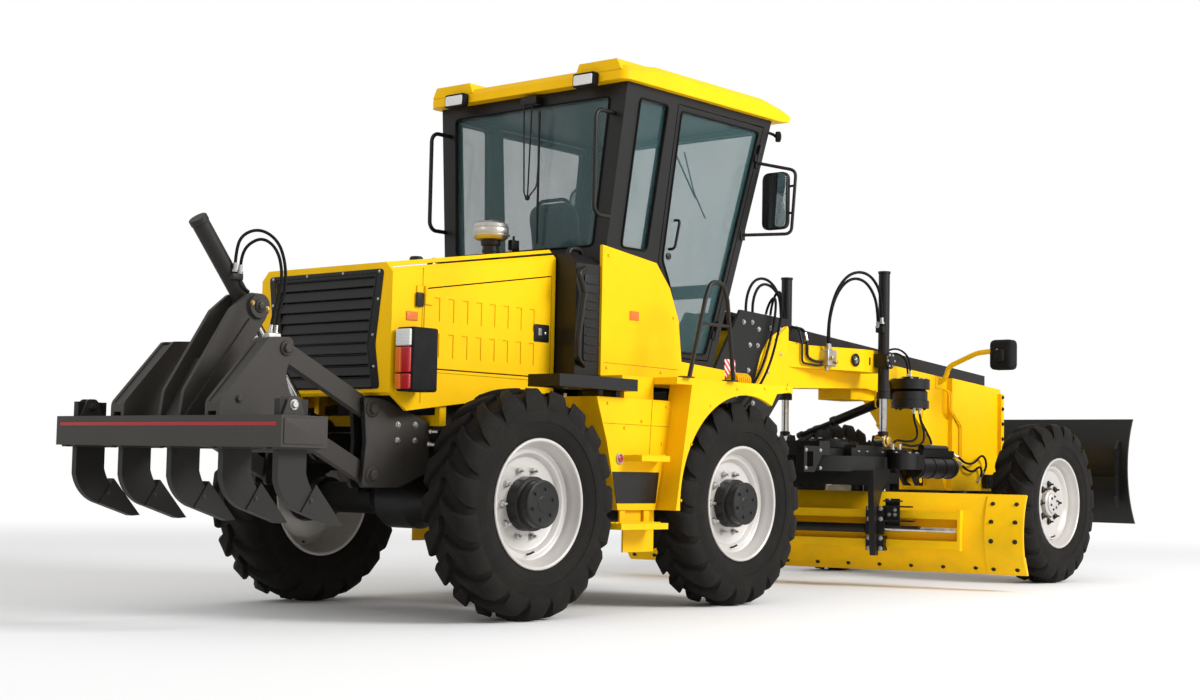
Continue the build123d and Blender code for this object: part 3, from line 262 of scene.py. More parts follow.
def stripeFinish(name, first, second, width):
    # slanted bands of two colours, from a wave across and up the piece
    finish = Finish(name, {"Roughness": 0.3, "Coat Weight": 0.5})
    slant = finish.node("ShaderNodeMapping", {}, {"Vector": finish.place, "Rotation": (0, 0.8, 0)})
    wave = finish.node("ShaderNodeTexWave", {"bands_direction": "X", "wave_profile": "SAW"},
                       {"Vector": slant, "Scale": 0.5 / width})
    return finish.feed(Base_Color=finish.mixed(finish.ranged(wave, 0.48, 0.52), shade(first), shade(second)),
                       Normal=finish.bump(finish.noise(300), 0.1, 0.0003))


# the remaining finishes: how each is made, and its colours and measures
otherSetup = {
    "tyre_rubber": (rubberFinish, (0.0078, 0.0071, 0.0062), 150),
    "hose_rubber": (rubberFinish, (0.0055, 0.0055, 0.0055), 320),
    "seal_rubber": (rubberFinish, (0.005, 0.005, 0.005), 260),
    "lamp_plastic": (rubberFinish, (0.008, 0.008, 0.0085), 420),
    "green_glass": (glassFinish, (0.052, 0.124, 0.132), 0.28),
    "seat_cloth": (clothFinish, (0.022, 0.026, 0.026)),
    "clear_lens": (lensFinish, (0.8, 0.8, 0.78)),
    "red_lens": (lensFinish, (0.5, 0.006, 0.01)),
    "orange_lens": (lensFinish, (0.85, 0.17, 0.002)),
    "red_tape": (lensFinish, (0.42, 0.004, 0.01), 4, 0.0),
    "mirror_glass": (mirrorFinish, (0.5, 0.52, 0.53)),
    "marker_stripes": (stripeFinish, (0.62, 0.015, 0.012), (0.75, 0.74, 0.72), 0.05),
}
finishes = {name: paintFinish(name, setup) for name, setup in paintSetup.items()}
finishes.update({name: metalFinish(name, setup) for name, setup in metalSetup.items()})
finishes.update({name: make(name, *values) for name, (make, *values) in otherSetup.items()})

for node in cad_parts.values():
    for held in node.material_slots:
        held.material = finishes[held.material.name.split(".")[0]]
# painted shade: the photo shows the shanks and the cylinder of the ripper darker than its frame, so they get a
# darker copy of its grey
for name in ("ripper_shanks", "ripper_barrel"):
    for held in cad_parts[name].material_slots:
        held.material = finishes["ripper_painted_shade"]
print("finishes made:", len(finishes))


def unit(vectors):
    return vectors / np.linalg.norm(vectors, axis=-1, keepdims=True)


def axesFrom(direction):
    # the direction, and two more square to it and to each other, from cross products with the least-used axis
    ahead = unit(np.asarray(direction, float))
    spare = np.eye(3)[np.argmin(np.abs(ahead))]
    across = unit(np.cross(spare, ahead))
    return ahead, across, np.cross(ahead, across)


def gridFaces(rows, columns, wrapRows):
    # quads between neighbours of a grid, its last column joined to the first, and its rows too where they wrap
    row = np.arange(rows if wrapRows else rows - 1)[:, None]
    column = np.arange(columns)[None, :]
    nextRow, nextColumn = (row + 1) % rows, (column + 1) % columns
    corners = [row * columns + column, row * columns + nextColumn,
               nextRow * columns + nextColumn, nextRow * columns + column]
    return np.stack(np.broadcast_arrays(*corners), -1).reshape(-1, 4)


def skin(grid, wrapRows=False):
    # a grid whose columns run right round becomes quads, and its first and last rows are filled unless they meet
    rows, columns = grid.shape[:2]
    blocks = [gridFaces(rows, columns, wrapRows)]
    if not wrapRows:
        blocks.append(np.arange(columns)[None, ::-1])
        blocks.append(np.arange(columns)[None] + (rows - 1) * columns)
    return grid.reshape(-1, 3), blocks


def gather(*shapes):
    # several shapes as one: points stacked, each shape's faces moved on by the points before it
    starts = np.cumsum([0] + [len(points) for points, _ in shapes])
    blocks = [block + start for (_, parts), start in zip(shapes, starts) for block in parts]
    return np.vstack([points for points, _ in shapes]), blocks


def turned(profile, centre, axis, columns=64, wrap=False):
    # point = centre + axis * along + (across * cos + above * sin) * radius, for each row of the profile
    profile = np.asarray(profile, float)
    ahead, across, above = axesFrom(axis)
    angle = np.linspace(0, 2 * np.pi, columns, endpoint=False)[:, None]
    ring = across * np.cos(angle) + above * np.sin(angle)
    return skin(np.asarray(centre, float) + profile[:, None, :1] * ahead + profile[:, None, 1:] * ring, wrap)


def circleLine(radius, columns=12):
    # radius * (cos, sin) of equal steps round
    angle = np.linspace(0, 2 * np.pi, columns, endpoint=False)
    return radius * np.stack([np.cos(angle), np.sin(angle)], -1)


def carried(path, section, closed=False, side=None):
    # point = path + across * section x + above * section y, across being square to the path and to a fixed side
    path = np.asarray(path, float)
    if closed:
        ahead = unit(np.roll(path, -1, 0) - np.roll(path, 1, 0))
    else:
        ahead = unit(np.gradient(path, axis=0))
    if side is None:
        side = np.eye(3)[np.argmin(np.abs(ahead).max(0))]
    across = unit(np.cross(ahead, np.asarray(side, float)))
    above = np.cross(across, ahead)
    grid = path[:, None] + across[:, None] * section[None, :, :1] + above[:, None] * section[None, :, 1:]
    return skin(grid, closed)


def cornerArcs(corners, before, after, bend, steps):
    # each corner turned by (1-t)^2 start + 2t(1-t) corner + t^2 end, start and end a bend away along its sides
    t = np.linspace(0, 1, steps)[None, :, None]
    corner = corners[:, None]
    start, end = corner - before[:, None] * bend, corner + after[:, None] * bend
    arcs = (1 - t) ** 2 * start + 2 * t * (1 - t) * corner + t ** 2 * end
    return arcs.reshape(-1, corners.shape[1])


def bentLine(points, bend, steps=6):
    # straight runs joined by turned corners
    points = np.asarray(points, float)
    before, after = unit(points[1:-1] - points[:-2]), unit(points[2:] - points[1:-1])
    return np.vstack([points[:1], cornerArcs(points[1:-1], before, after, bend, steps), points[-1:]])


def roundedOutline(corners, radius, steps=5):
    # a flat outline with every corner turned
    corners = np.asarray(corners, float)
    before, after = unit(corners - np.roll(corners, 1, 0)), unit(np.roll(corners, -1, 0) - corners)
    return cornerArcs(corners, before, after, radius, steps)


def oblong(width, height, radius, steps=5):
    half = np.array([width, height]) / 2
    return roundedOutline(half * [[-1, -1], [1, -1], [1, 1], [-1, 1]], radius, steps)


def drawnIn(outline, amount):
    # each point moves inwards along the sum of its two edges' normals, by the amount over their half angle
    before = unit(outline - np.roll(outline, 1, 0))
    after = unit(np.roll(outline, -1, 0) - outline)
    turn = np.roll(outline, -1, 0)
    area = np.sum(outline[:, 0] * turn[:, 1] - turn[:, 0] * outline[:, 1])
    normals = np.stack([-(before + after)[:, 1], (before + after)[:, 0]], -1) * np.sign(area)
    normals = unit(normals)
    lean = np.maximum(np.sum(normals * np.stack([-before[:, 1], before[:, 0]], -1) * np.sign(area), -1), 0.4)
    return outline + normals * (amount / lean)[:, None]


def pad(outline, centre, out, across, depth, edge=0.002, back=0.0):
    # an outline raised off a plane: its rings step up, then in by edge * (1 - cos) as they rise by edge * sin
    out = unit(np.asarray(out, float))
    across = unit(np.asarray(across, float))
    above = np.cross(out, across)
    above = above * np.sign(above.sum())
    outline = np.asarray(outline, float)
    angle = np.linspace(0, np.pi / 2, 4)
    rings = [(edge * (1 - np.cos(a)), depth - edge + edge * np.sin(a)) for a in angle]
    if back:
        rings = [(back * (1 - np.cos(a)), back - back * np.sin(a)) for a in angle[::-1]] + rings
    else:
        rings = [(0.0, 0.0)] + rings
    grid = np.stack([np.asarray(centre, float) + drawnIn(outline, inset) @ np.stack([across, above]) + out * rise
                     for inset, rise in rings])
    return skin(grid)


def brick(low, high, edge=0.006):
    # a block between two corners, all its edges rounded
    low, high = np.asarray(low, float), np.asarray(high, float)
    size = high - low
    centre = (low + high) / 2
    centre[2] = low[2]
    return pad(oblong(size[0], size[1], edge), centre, (0, 0, 1), (1, 0, 0), size[2], edge, edge)


def sidePlate(size, place, side, depth, edge=0.002):
    # a flat block on a side wall, facing outwards; its size is its width, height and corner radius
    x, y, z = place
    return pad(oblong(*size), (x, side * y, z), (0, side, 0), (1, 0, 0), depth, edge)


def endPlate(size, place, side, way, depth, edge=0.002, back=0.0):
    # the same on an end wall, facing the way it is told
    x, y, z = place
    return pad(oblong(*size), (x, side * y, z), way, (0, 1, 0), depth, edge, back)


def sideBrick(low, high, side, edge=0.006):
    # a block given for the left side, or its mirror image
    y0, y1 = sorted((side * low[1], side * high[1]))
    return brick((low[0], y0, low[2]), (high[0], y1, high[2]), edge)


def boltShape(radius, height):
    # a washer, then a six-sided head with a turned crown; its radius is r / cos of the angle from each flat
    angle = np.linspace(0, 2 * np.pi, 12, endpoint=False)
    flat = np.abs((angle + np.pi / 6) % (np.pi / 3) - np.pi / 6)
    hexagon = radius * 0.87 / np.cos(flat)
    washer, crown = np.full(12, radius * 1.4), np.full(12, radius * 0.76)
    rows = [(0.0, washer), (0.16 * height, washer), (0.17 * height, hexagon), (0.86 * height, hexagon),
            (height, crown)]
    return skin(np.stack([np.stack([r * np.cos(angle), r * np.sin(angle), np.full(12, z)], -1) for z, r in rows]))


def copied(blocks, count, each):
    # every face again for each copy, moved on by the points of one copy
    steps = np.arange(count)[:, None, None] * each
    return [(block[None] + steps).reshape(-1, block.shape[1]) for block in blocks]


def spread(shape, places, out):
    # the shape once at every place, its z turned to point out of the face there
    points, blocks = shape
    places = np.asarray(places, float)
    ahead, across, above = axesFrom(out)
    faced = points @ np.stack([across, above, ahead])
    return (places[:, None] + faced).reshape(-1, 3), copied(blocks, len(places), len(points))


def bolts(places, out, radius=0.011, height=0.012):
    return spread(boltShape(radius, height), places, out)


def stub(place, out, radius, length, tip, bevel=0.004, columns=12):
    # a short round post, its end turned down to the tip's radius over the bevel
    return turned([(0, radius), (length, radius), (length + bevel, tip)], place, out, columns)


def band(centre, axis, span, reach, columns=40, slope=0.0):
    # a ring round the axis, between two distances along it and from its inner to its outer radius
    (start, end), (inner, outer) = span, reach
    return turned([(start, inner), (start, outer), (end, outer), (end + slope, inner)], centre, axis, columns, True)


def ringOf(centre, radius, count, upright=True, turn=0.0):
    # centre + radius * (cos, sin) of equal steps, lying flat round an upright axis, else standing along X
    angle = np.arange(count) * 2 * np.pi / count + turn
    around = np.stack([np.cos(angle), np.sin(angle), 0 * angle], -1) * radius
    return np.asarray(centre) + (around if upright else around[:, [0, 2, 1]])


def makePiece(name, shapes, body, finish, crease=35, counted=True):
    # puts its shapes into a mesh, turns their faces outwards and lets it ride its body
    points, blocks = gather(*shapes)
    if counted:
        points[:, 0] += rearAxle
    mesh = bpy.data.meshes.new(name)
    mesh.from_pydata(points.tolist(), [], [face for block in blocks for face in block.tolist()])
    work = bmesh.new()
    work.from_mesh(mesh)
    bmesh.ops.recalc_face_normals(work, faces=work.faces)
    work.to_mesh(mesh)
    work.free()
    mesh.polygons.foreach_set("use_smooth", np.ones(len(mesh.polygons), bool))
    mesh.set_sharp_from_angle(angle=math.radians(crease))
    mesh.materials.append(finishes[finish])
    piece = bpy.data.objects.new(name, mesh)
    bpy.context.collection.objects.link(piece)
    if body:
        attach(piece, body)
    return piece


# wheels: the tyre's half section as reach from its middle and radius, and its lugs from the middle outwards
tyreSetup = {
    "section": [(0.0, 0.606), (0.06, 0.605), (0.105, 0.6), (0.135, 0.588), (0.152, 0.568), (0.163, 0.538),
                (0.1685, 0.505), (0.1695, 0.47), (0.169, 0.452), (0.164, 0.449), (0.164, 0.439), (0.161, 0.434),
                (0.159, 0.418), (0.154, 0.4), (0.147, 0.388), (0.144, 0.38), (0.139, 0.368), (0.131, 0.36),
                (0.122, 0.355)],
    "columns": 120,
    "lugs": 19,
    "lugTop": [(0.006, 0.6395), (0.05, 0.64), (0.095, 0.6385), (0.128, 0.6335), (0.15, 0.62), (0.163, 0.594),
               (0.1695, 0.56), (0.1705, 0.54)],
    "lugFoot": [0.595, 0.594, 0.59, 0.58, 0.562, 0.545, 0.528, 0.518],
    "lugSweep": [0.0, 0.06, 0.11, 0.142, 0.158, 0.166, 0.171, 0.173],
    "lugHalf": [0.036, 0.044, 0.053, 0.062, 0.069, 0.073, 0.073, 0.068],
    "lugTurn": 1.35,
    "lugAcross": [-1.12, -1.0, -0.82, 0.82, 1.0, 1.12],
    "lugRise": [0.0, 0.82, 1.0, 1.0, 0.82, 0.0],
    "lugLean": 0.004,
}
rimSection = [(0.141, 0.3635), (0.1465, 0.359), (0.1475, 0.35), (0.143, 0.344), (0.133, 0.34), (0.12, 0.336),
              (0.1, 0.326), (0.082, 0.316), (0.066, 0.312), (0.06, 0.304), (0.061, 0.292), (0.058, 0.28),
              (0.046, 0.268), (0.034, 0.258), (0.03, 0.245), (0.03, 0.13), (0.014, 0.13), (0.014, 0.246),
              (0.022, 0.268), (0.04, 0.29), (0.044, 0.306), (0.02, 0.318), (-0.1, 0.328), (-0.125, 0.336),
              (-0.1425, 0.342), (-0.1465, 0.35), (-0.146, 0.359), (-0.141, 0.3625), (-0.134, 0.352),
              (0.134, 0.352)]
driveWheel = {
    "hub": [(-0.075, 0.1), (-0.075, 0.15), (0.01, 0.156), (0.02, 0.151), (0.098, 0.151), (0.104, 0.146),
            (0.107, 0.131), (0.15, 0.128), (0.16, 0.126), (0.164, 0.133), (0.168, 0.131), (0.171, 0.12),
            (0.1685, 0.112), (0.1685, 0.045), (0.1715, 0.04)],
    "hubFinish": "black_paint", "studFinish": "bright_steel", "discOut": 0.0, "studReach": 0.03,
    "studs": 10, "studCircle": 0.19, "nut": 0.017, "capCircle": 0.085,
}
steerWheel = {
    "hub": [(-0.1, 0.08), (0.02, 0.106), (0.07, 0.105), (0.075, 0.098), (0.077, 0.084), (0.088, 0.082),
            (0.094, 0.074), (0.096, 0.03)],
    "hubFinish": "silver_paint", "studFinish": "black_paint", "discOut": 0.015, "studReach": 0.045,
    "studs": 8, "studCircle": 0.15, "nut": 0.021, "capCircle": 0.052,
}
wheelSetup = {
    "height": 0.64,
    "discWithin": 0.3,
    "nutHeight": 0.02,
    "studOut": 0.018,
    "stud": (0.0085, 0.026),
    "caps": 6,
    "capTurn": 0.3,
    "cap": (0.009, 0.008),
    "valve": 0.006,
    "valveRoute": [(0, 0.02, -0.285), (0, 0.075, -0.275), (0, 0.105, -0.262)],
}
axleRows = [("rear", 0.0, 0.89, driveWheel), ("mid", 1.912, 0.89, driveWheel), ("front", 6.152, 1.0, steerWheel)]


def tyreShape(centre, side, setup):
    # the section mirrored and carried round the axle, with each lug a prism swept from the middle to the shoulder
    half = np.asarray(setup["section"])
    section = np.vstack([half[::-1], half[1:] * [-1, 1]])
    angle = np.linspace(0, 2 * np.pi, setup["columns"], endpoint=False)[:, None]
    reach, radius = section.T
    shapes = [skin(np.stack([radius * np.cos(angle), reach + 0 * angle, radius * np.sin(angle)], -1), True)]
    top, foot, sweep, width = (np.asarray(setup[key]) for key in ("lugTop", "lugFoot", "lugSweep", "lugHalf"))
    across, rise = np.asarray(setup["lugAcross"]), np.asarray(setup["lugRise"])
    pitch = 2 * np.pi / setup["lugs"]
    for hand in (-1, 1):
        turns = np.arange(setup["lugs"]) * pitch + (pitch / 2 if hand > 0 else 0)
        phase = (turns[:, None, None] + sweep[None, :, None] * setup["lugTurn"]
                 + across * width[:, None] / top[:, 1:])
        lugRadius = foot[:, None] + rise * (top[:, 1:] - foot[:, None])
        lugReach = hand * (top[:, :1] - (1 - rise) * setup["lugLean"])
        grid = np.stack([lugRadius * np.cos(phase), lugReach + 0 * phase, lugRadius * np.sin(phase)], -1)
        points, blocks = skin(grid[0])
        shapes.append((grid.reshape(-1, 3), copied(blocks, setup["lugs"], len(points))))
    points, blocks = gather(*shapes)
    return points * [1, side, 1] + centre, blocks


for row, x, track, kind in axleRows:
    for word, side in sides:
        name = f"{row}_{word}"
        body = f"wheel_{name}"
        middle = np.array([x, side * track, wheelSetup["height"]])
        out = np.array([0.0, side, 0.0])
        tyre = makePiece(f"tyreDressed_{name}", [tyreShape(middle, side, tyreSetup)], body, "tyre_rubber", 40)
        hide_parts(f"tyre_{name}")
        section = np.array(rimSection)
        section[section[:, 1] < wheelSetup["discWithin"], 0] += kind["discOut"]
        rim = makePiece(f"rimDressed_{name}", [turned(section, middle, out, 96, True)], body, "silver_paint", 30)
        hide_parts(f"rim_{name}")
        makePiece(f"hubDrum_{name}", [turned(kind["hub"], middle, out)], body, kind["hubFinish"], 25)
        nuts = ringOf(middle + out * kind["studReach"], kind["studCircle"], kind["studs"], False)
        studs = [bolts(nuts, out, kind["nut"], wheelSetup["nutHeight"]),
                 bolts(nuts + out * wheelSetup["studOut"], out, *wheelSetup["stud"])]
        makePiece(f"wheelStuds_{name}", studs, body, kind["studFinish"], 25)
        caps = ringOf(middle + out * kind["hub"][-2][0], kind["capCircle"], wheelSetup["caps"], False,
                      wheelSetup["capTurn"])
        makePiece(f"hubBolts_{name}", [bolts(caps, out, *wheelSetup["cap"])], body, "black_paint", 25)
        valve = carried(middle + np.array(wheelSetup["valveRoute"]) * [1, side, 1],
                        circleLine(wheelSetup["valve"], 10))
        makePiece(f"valve_{name}", [valve], body, "black_paint")
print("wheels dressed")

# cab: walls that lean from the sill up, windows as outlines on them, and what is fixed to them
cabSetup = {
    "sill": 1.44,
    "tall": 1.76,
    "rear": (0.9, 0.085),
    "front": (2.11, 0.41),
    "half": (0.61, 0.185),
    "quarterGlass": [(1.075, 2.2), (1.325, 2.2), (1.4, 3.12), (1.12, 3.12)],
    "doorGlass": [(1.724, 1.596), (2.04, 1.596), (2.385, 3.106), (1.538, 3.106), (1.492, 2.165), (1.588, 2.02),
                  (1.68, 1.812)],
    "rearGlass": [(-0.58, 2.2), (0.58, 2.2), (0.66, 3.12), (-0.66, 3.12)],
    "windscreen": [(-0.59, 2.08), (0.59, 2.08), (0.69, 3.12), (-0.69, 3.12)],
    "footGlass": [(-0.52, 1.56), (0.52, 1.56), (0.56, 2.0), (-0.56, 2.0)],
    "quarterBead": (0.009, 0.007),
    "doorBead": (0.007, 0.006),
    "endBead": (0.01, 0.007),
    "beadCorner": 0.035,
    "handle": [(1.545, 2.235, 0.0), (1.55, 2.235, 0.045), (1.575, 2.42, 0.045), (1.575, 2.42, 0.0)],
    "lock": (1.545, 2.19),
}


def cabAt(wall, z):
    # a wall's place at the sill, plus its lean times the part of the cab's height reached
    start, lean = cabSetup[wall]
    return start + lean * (z - cabSetup["sill"]) / cabSetup["tall"]


def onSide(x, z, side, proud=0.001):
    # a point on a side wall, standing a little proud of it
    return x, side * (cabAt("half", z) + proud), z


def tube(points, radius, bend, columns=14):
    return carried(bentLine(points, bend), circleLine(radius, columns))


def bead(outline, place, size, out):
    # a rubber bead: a flat oval section carried round a window's outline, which place() lays on its wall
    wide, deep = cabSetup[size]
    loop = roundedOutline(cabSetup[outline], cabSetup["beadCorner"])
    path = np.array(place(loop[:, 0], loop[:, 1])).T
    return carried(path, circleLine(1.0, 8) * [deep, wide], True, out)


beads = []
for name, side in sides:
    beads.append(bead("quarterGlass", lambda x, z: onSide(x, z, side), "quarterBead", (0, 1, 0)))
    doorBead = bead("doorGlass", lambda x, z: onSide(x, z, side), "doorBead", (0, 1, 0))
    makePiece(f"doorBead_{name}", [doorBead], f"cab_door_{name}", "seal_rubber")
for glass, wall, proud in (("rearGlass", "rear", -0.001), ("windscreen", "front", 0.001),
                           ("footGlass", "front", 0.001)):
    beads.append(bead(glass, lambda y, z: (cabAt(wall, z) + proud, y, z), "endBead", (1, 0, 0)))
makePiece("glassBeads", beads, "chassis", "seal_rubber")

wiperSetup = {
    "motor": ((0.915, -0.105, 3.128), (0.972, 0.03, 3.182)),
    "arms": [[(0.945, -0.012, 3.15), (0.905, -0.014, 3.12), (0.905, -0.03, 2.56), (0.918, -0.04, 2.535)],
             [(0.945, -0.08, 3.15), (0.905, -0.082, 3.12), (0.905, -0.062, 2.56), (0.918, -0.05, 2.535)]],
    "pivot": (0.927, -0.046, 2.535),
    "stay": [(0.921, -0.05, 2.535), (0.921, -0.122, 2.6), (0.926, -0.126, 2.72)],
    "blade": ((0.922, -0.133, 2.24), (0.936, -0.121, 3.08)),
    "frontMotor": ((2.492, -0.1, 3.128), (2.535, 0.1, 3.178)),
    "frontArm": [(2.512, 0.05, 3.14), (2.535, 0.05, 3.1), (2.47, -0.2, 2.72)],
    "frontBlade": [(2.4, -0.34, 2.56), (2.452, -0.2, 2.76), (2.52, -0.06, 3.06)],
    "rod": 0.005,
    "frontRod": 0.006,
    "bend": 0.02,
    "stayBend": 0.03,
}
rod, bend = wiperSetup["rod"], wiperSetup["bend"]
rearWiper = [
    brick(*wiperSetup["motor"], 0.008),
    *[tube(arm, rod, bend) for arm in wiperSetup["arms"]],
    stub(wiperSetup["pivot"], (-1, 0, 0), 0.016, 0.014, 0.01, 0.004, 18),
    tube(wiperSetup["stay"], rod, wiperSetup["stayBend"]),
    brick(*wiperSetup["blade"], 0.004),
]
makePiece("rearWiper", rearWiper, "chassis", "black_paint")
frontWiper = [
    brick(*wiperSetup["frontMotor"], 0.008),
    tube(wiperSetup["frontArm"], wiperSetup["frontRod"], bend),
    tube(wiperSetup["frontBlade"], rod, bend),
]
makePiece("frontWiper", frontWiper, "chassis", "black_paint")
for name, side in sides:
    grip = tube([onSide(x, z, side, proud) for x, z, proud in cabSetup["handle"]], 0.009, 0.025)
    lock = stub(onSide(*cabSetup["lock"], side, 0.0), (0, side, 0), 0.022, 0.01, 0.015, 0.004, 20)
    makePiece(f"doorHandle_{name}", [grip, lock], f"cab_door_{name}", "black_paint")
print("cab dressed")

# lamps: each housing or lens has a finish, size, place, the way it faces, its depth, front edge and back edge
tilted = (-1, 0, 0.05)
lampPlates = [
    ("lamp_plastic", (0.205, 0.245, 0.045), (5.785, 0.797, 1.828), (1, 0, 0), 0.105, 0.012, 0.035),
    ("lamp_plastic", (0.075, 0.1, 0.02), (5.755, 0.797, 1.818), (1, 0, 0), 0.04, 0.004, 0.012),
    ("clear_lens", (0.172, 0.118, 0.032), (5.888, 0.797, 1.87), (1, 0, 0), 0.01, 0.006, 0.0),
    ("orange_lens", (0.172, 0.062, 0.018), (5.888, 0.797, 1.76), (1, 0, 0), 0.01, 0.006, 0.0),
    ("lamp_plastic", (0.172, 0.086, 0.014), (0.898, 0.552, 3.212), tilted, 0.052, 0.006, 0.01),
    ("clear_lens", (0.148, 0.064, 0.01), (0.847, 0.552, 3.212), tilted, 0.008, 0.004, 0.0),
]
# tail lamp: each lens has its middle from the machine's, its width, and its lower and upper edge
tailLenses = [("clear_lens", 0.63, 0.112, 1.48, 1.572), ("orange_lens", 0.596, 0.044, 1.336, 1.474),
              ("orange_lens", 0.596, 0.044, 1.247, 1.33), ("red_lens", 0.6535, 0.065, 1.336, 1.474),
              ("red_lens", 0.6535, 0.065, 1.247, 1.33)]
for lens, middle, width, low, high in tailLenses:
    lampPlates.append((lens, (width, high - low, 0.01), (-0.67, middle, (low + high) / 2), (-1, 0, 0), 0.016,
                       0.008, 0.0))
lampParts = {"lamp_plastic": [], "clear_lens": [], "orange_lens": [], "red_lens": []}
for _, side in sides:
    lampParts["lamp_plastic"].append(sideBrick((-0.67, 0.566, 1.236), (-0.48, 0.7, 1.583), side, 0.014))
    lampParts["lamp_plastic"].append(sideBrick((-0.64, 0.546, 1.3), (-0.5, 0.57, 1.36), side, 0.004))
    for finish, size, place, way, depth, edge, back in lampPlates:
        lampParts[finish].append(endPlate(size, place, side, way, depth, edge, back))
lampHousings = makePiece("lampHousings", lampParts.pop("lamp_plastic"), "chassis", "lamp_plastic")
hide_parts("lamps")
for lens, shapes in lampParts.items():
    makePiece(lens.replace("_", "") + "es", shapes, "chassis", lens)
armRoute = np.array([(5.86, 0.195, 1.61), (5.86, 0.262, 1.64), (5.862, 0.292, 1.745), (5.85, 0.56, 1.85),
                     (5.8, 0.78, 1.862)])
arms = [tube(armRoute * [1, side, 1], 0.021, 0.045) for _, side in sides]
arms += [sidePlate((0.11, 0.1, 0.01), (5.86, 0.199, 1.612), side, 0.008) for _, side in sides]
makePiece("lampArms", arms, "chassis", "yellow_paint")

mirrorSetup = {"middle": (2.5, 0.852, 2.65), "face": (0.205, 0.385, 0.055), "deep": 0.042, "back": 0.018,
               "ties": (-0.085, 0.095), "feet": ((2.4, 2.9), (2.315, 2.41))}
mirrorParts = []
for name, side in sides:
    x, y, z = mirrorSetup["middle"]
    face = oblong(*mirrorSetup["face"], 8)
    place = (x - mirrorSetup["back"], side * y, z)
    (topX, topZ), (footX, footZ) = mirrorSetup["feet"]
    mirrorParts.append(pad(face, place, (1, 0, 0), (0, 1, 0), mirrorSetup["deep"], 0.014, 0.006))
    mirrorParts.append(tube([onSide(topX, topZ, side, 0.0065), (2.53, side * 0.99, 2.85), (2.49, side * 0.985, 2.42),
                             onSide(footX, footZ, side, 0.0065)], 0.011, 0.045))
    for tie in mirrorSetup["ties"]:
        mirrorParts.append(tube([(x + 0.02, side * y, z + tie), (x + 0.024, side * 0.93, z + tie),
                                 (x + 0.012, side * 0.986, z + tie)], 0.008, 0.02))
    for footX, footZ in mirrorSetup["feet"]:
        mirrorParts.append(sidePlate((0.046, 0.07, 0.008), onSide(footX, footZ, 1, 0.0005), side, 0.008))
    glass = pad(drawnIn(face, 0.01), place, (-1, 0, 0), (0, 1, 0), 0.003, 0.0015)
    makePiece(f"mirrorFace_{name}", [glass], "chassis", "mirror_glass")
mirrorBodies = makePiece("mirrorBodies", mirrorParts, "chassis", "black_paint", 30)
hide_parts("mirrors")
print("lamps dressed")

# hood: grille slats inside a rim and a border, the core behind them, screws
hoodSetup = {
    "slats": 10, "firstSlat": 1.262, "slatPitch": 0.0612, "slatHeight": 0.0565, "slatGap": 0.004,
    "waist": 1.49, "waistHalf": 0.36, "growBelow": 0.208, "growAbove": 0.152,
    "rim": [(-0.42, 1.25), (-0.37, 1.49), (-0.43, 1.885), (0.43, 1.885), (0.37, 1.49), (0.42, 1.25)],
    "border": [(-0.468, 1.25), (-0.424, 1.49), (-0.48, 1.905), (0.48, 1.905), (0.424, 1.49), (0.468, 1.25)],
    "face": -0.6895, "borderFace": -0.694,
    "screws": [(0.445, 1.892), (0.44, 1.74), (0.404, 1.545), (0.418, 1.372), (0.15, 1.894)],
    "cleaner": (0.56, -0.08, 0),      # the pre-cleaner's upright axis
}


def grilleHalf(z):
    # half the grille's width: its waist, plus one slope for the way below it and another for the way above
    grow = hoodSetup["growBelow"] if z < hoodSetup["waist"] else hoodSetup["growAbove"]
    return hoodSetup["waistHalf"] + abs(z - hoodSetup["waist"]) * grow


def laid(outline, x):
    # a flat outline stood across the machine
    return np.insert(outline, 0, x, axis=1)


slats = []
for index in range(hoodSetup["slats"]):
    z = hoodSetup["firstSlat"] + index * hoodSetup["slatPitch"]
    top = z + hoodSetup["slatHeight"]
    section = np.array([(-0.6885, z), (-0.6905, z + 0.004), (-0.676, top), (-0.664, top), (-0.664, top - 0.003),
                        (-0.673, top - 0.003), (-0.6865, z + 0.004)])
    ends = np.array([-1, -0.5, 0, 0.5, 1])[:, None] * (grilleHalf(z + 0.028) - hoodSetup["slatGap"])
    slats.append(skin(np.stack(np.broadcast_arrays(section[:, 0], ends, section[:, 1]), -1)))
rim = np.array(hoodSetup["rim"])
inner, outer = roundedOutline(rim, 0.02, 4), roundedOutline(hoodSetup["border"], 0.03, 4)
slats.append(carried(laid(drawnIn(inner, 0.012), -0.684), circleLine(1.0, 8) * [0.008, 0.011], True, (1, 0, 0)))
makePiece("grilleSlats", slats, "chassis", "black_paint", 25)
# the border lies on the hood's rear face: its inner ring, up, out to the wider outline, and down
face, proud = hoodSetup["face"], hoodSetup["borderFace"]
border = np.stack([laid(inner, face), laid(inner, proud), laid(drawnIn(outer, 0.002), proud),
                   laid(outer, proud + 0.0015), laid(outer, face)], 1)
makePiece("grilleBorder", [skin(border, True)], "chassis", "black_paint", 25)
core = pad(drawnIn(rim, 0.024), (-0.63, 0, 0), (-1, 0, 0), (0, 1, 0), 0.012, 0.002)
makePiece("radiatorCore", [core], "chassis", "cast_engine")
screwPlaces = [(proud + 0.0002, side * y, z) for _, side in sides for y, z in hoodSetup["screws"]]
makePiece("grilleScrews", [bolts(screwPlaces, (-1, 0, 0), 0.006, 0.005)], "chassis", "bright_steel")

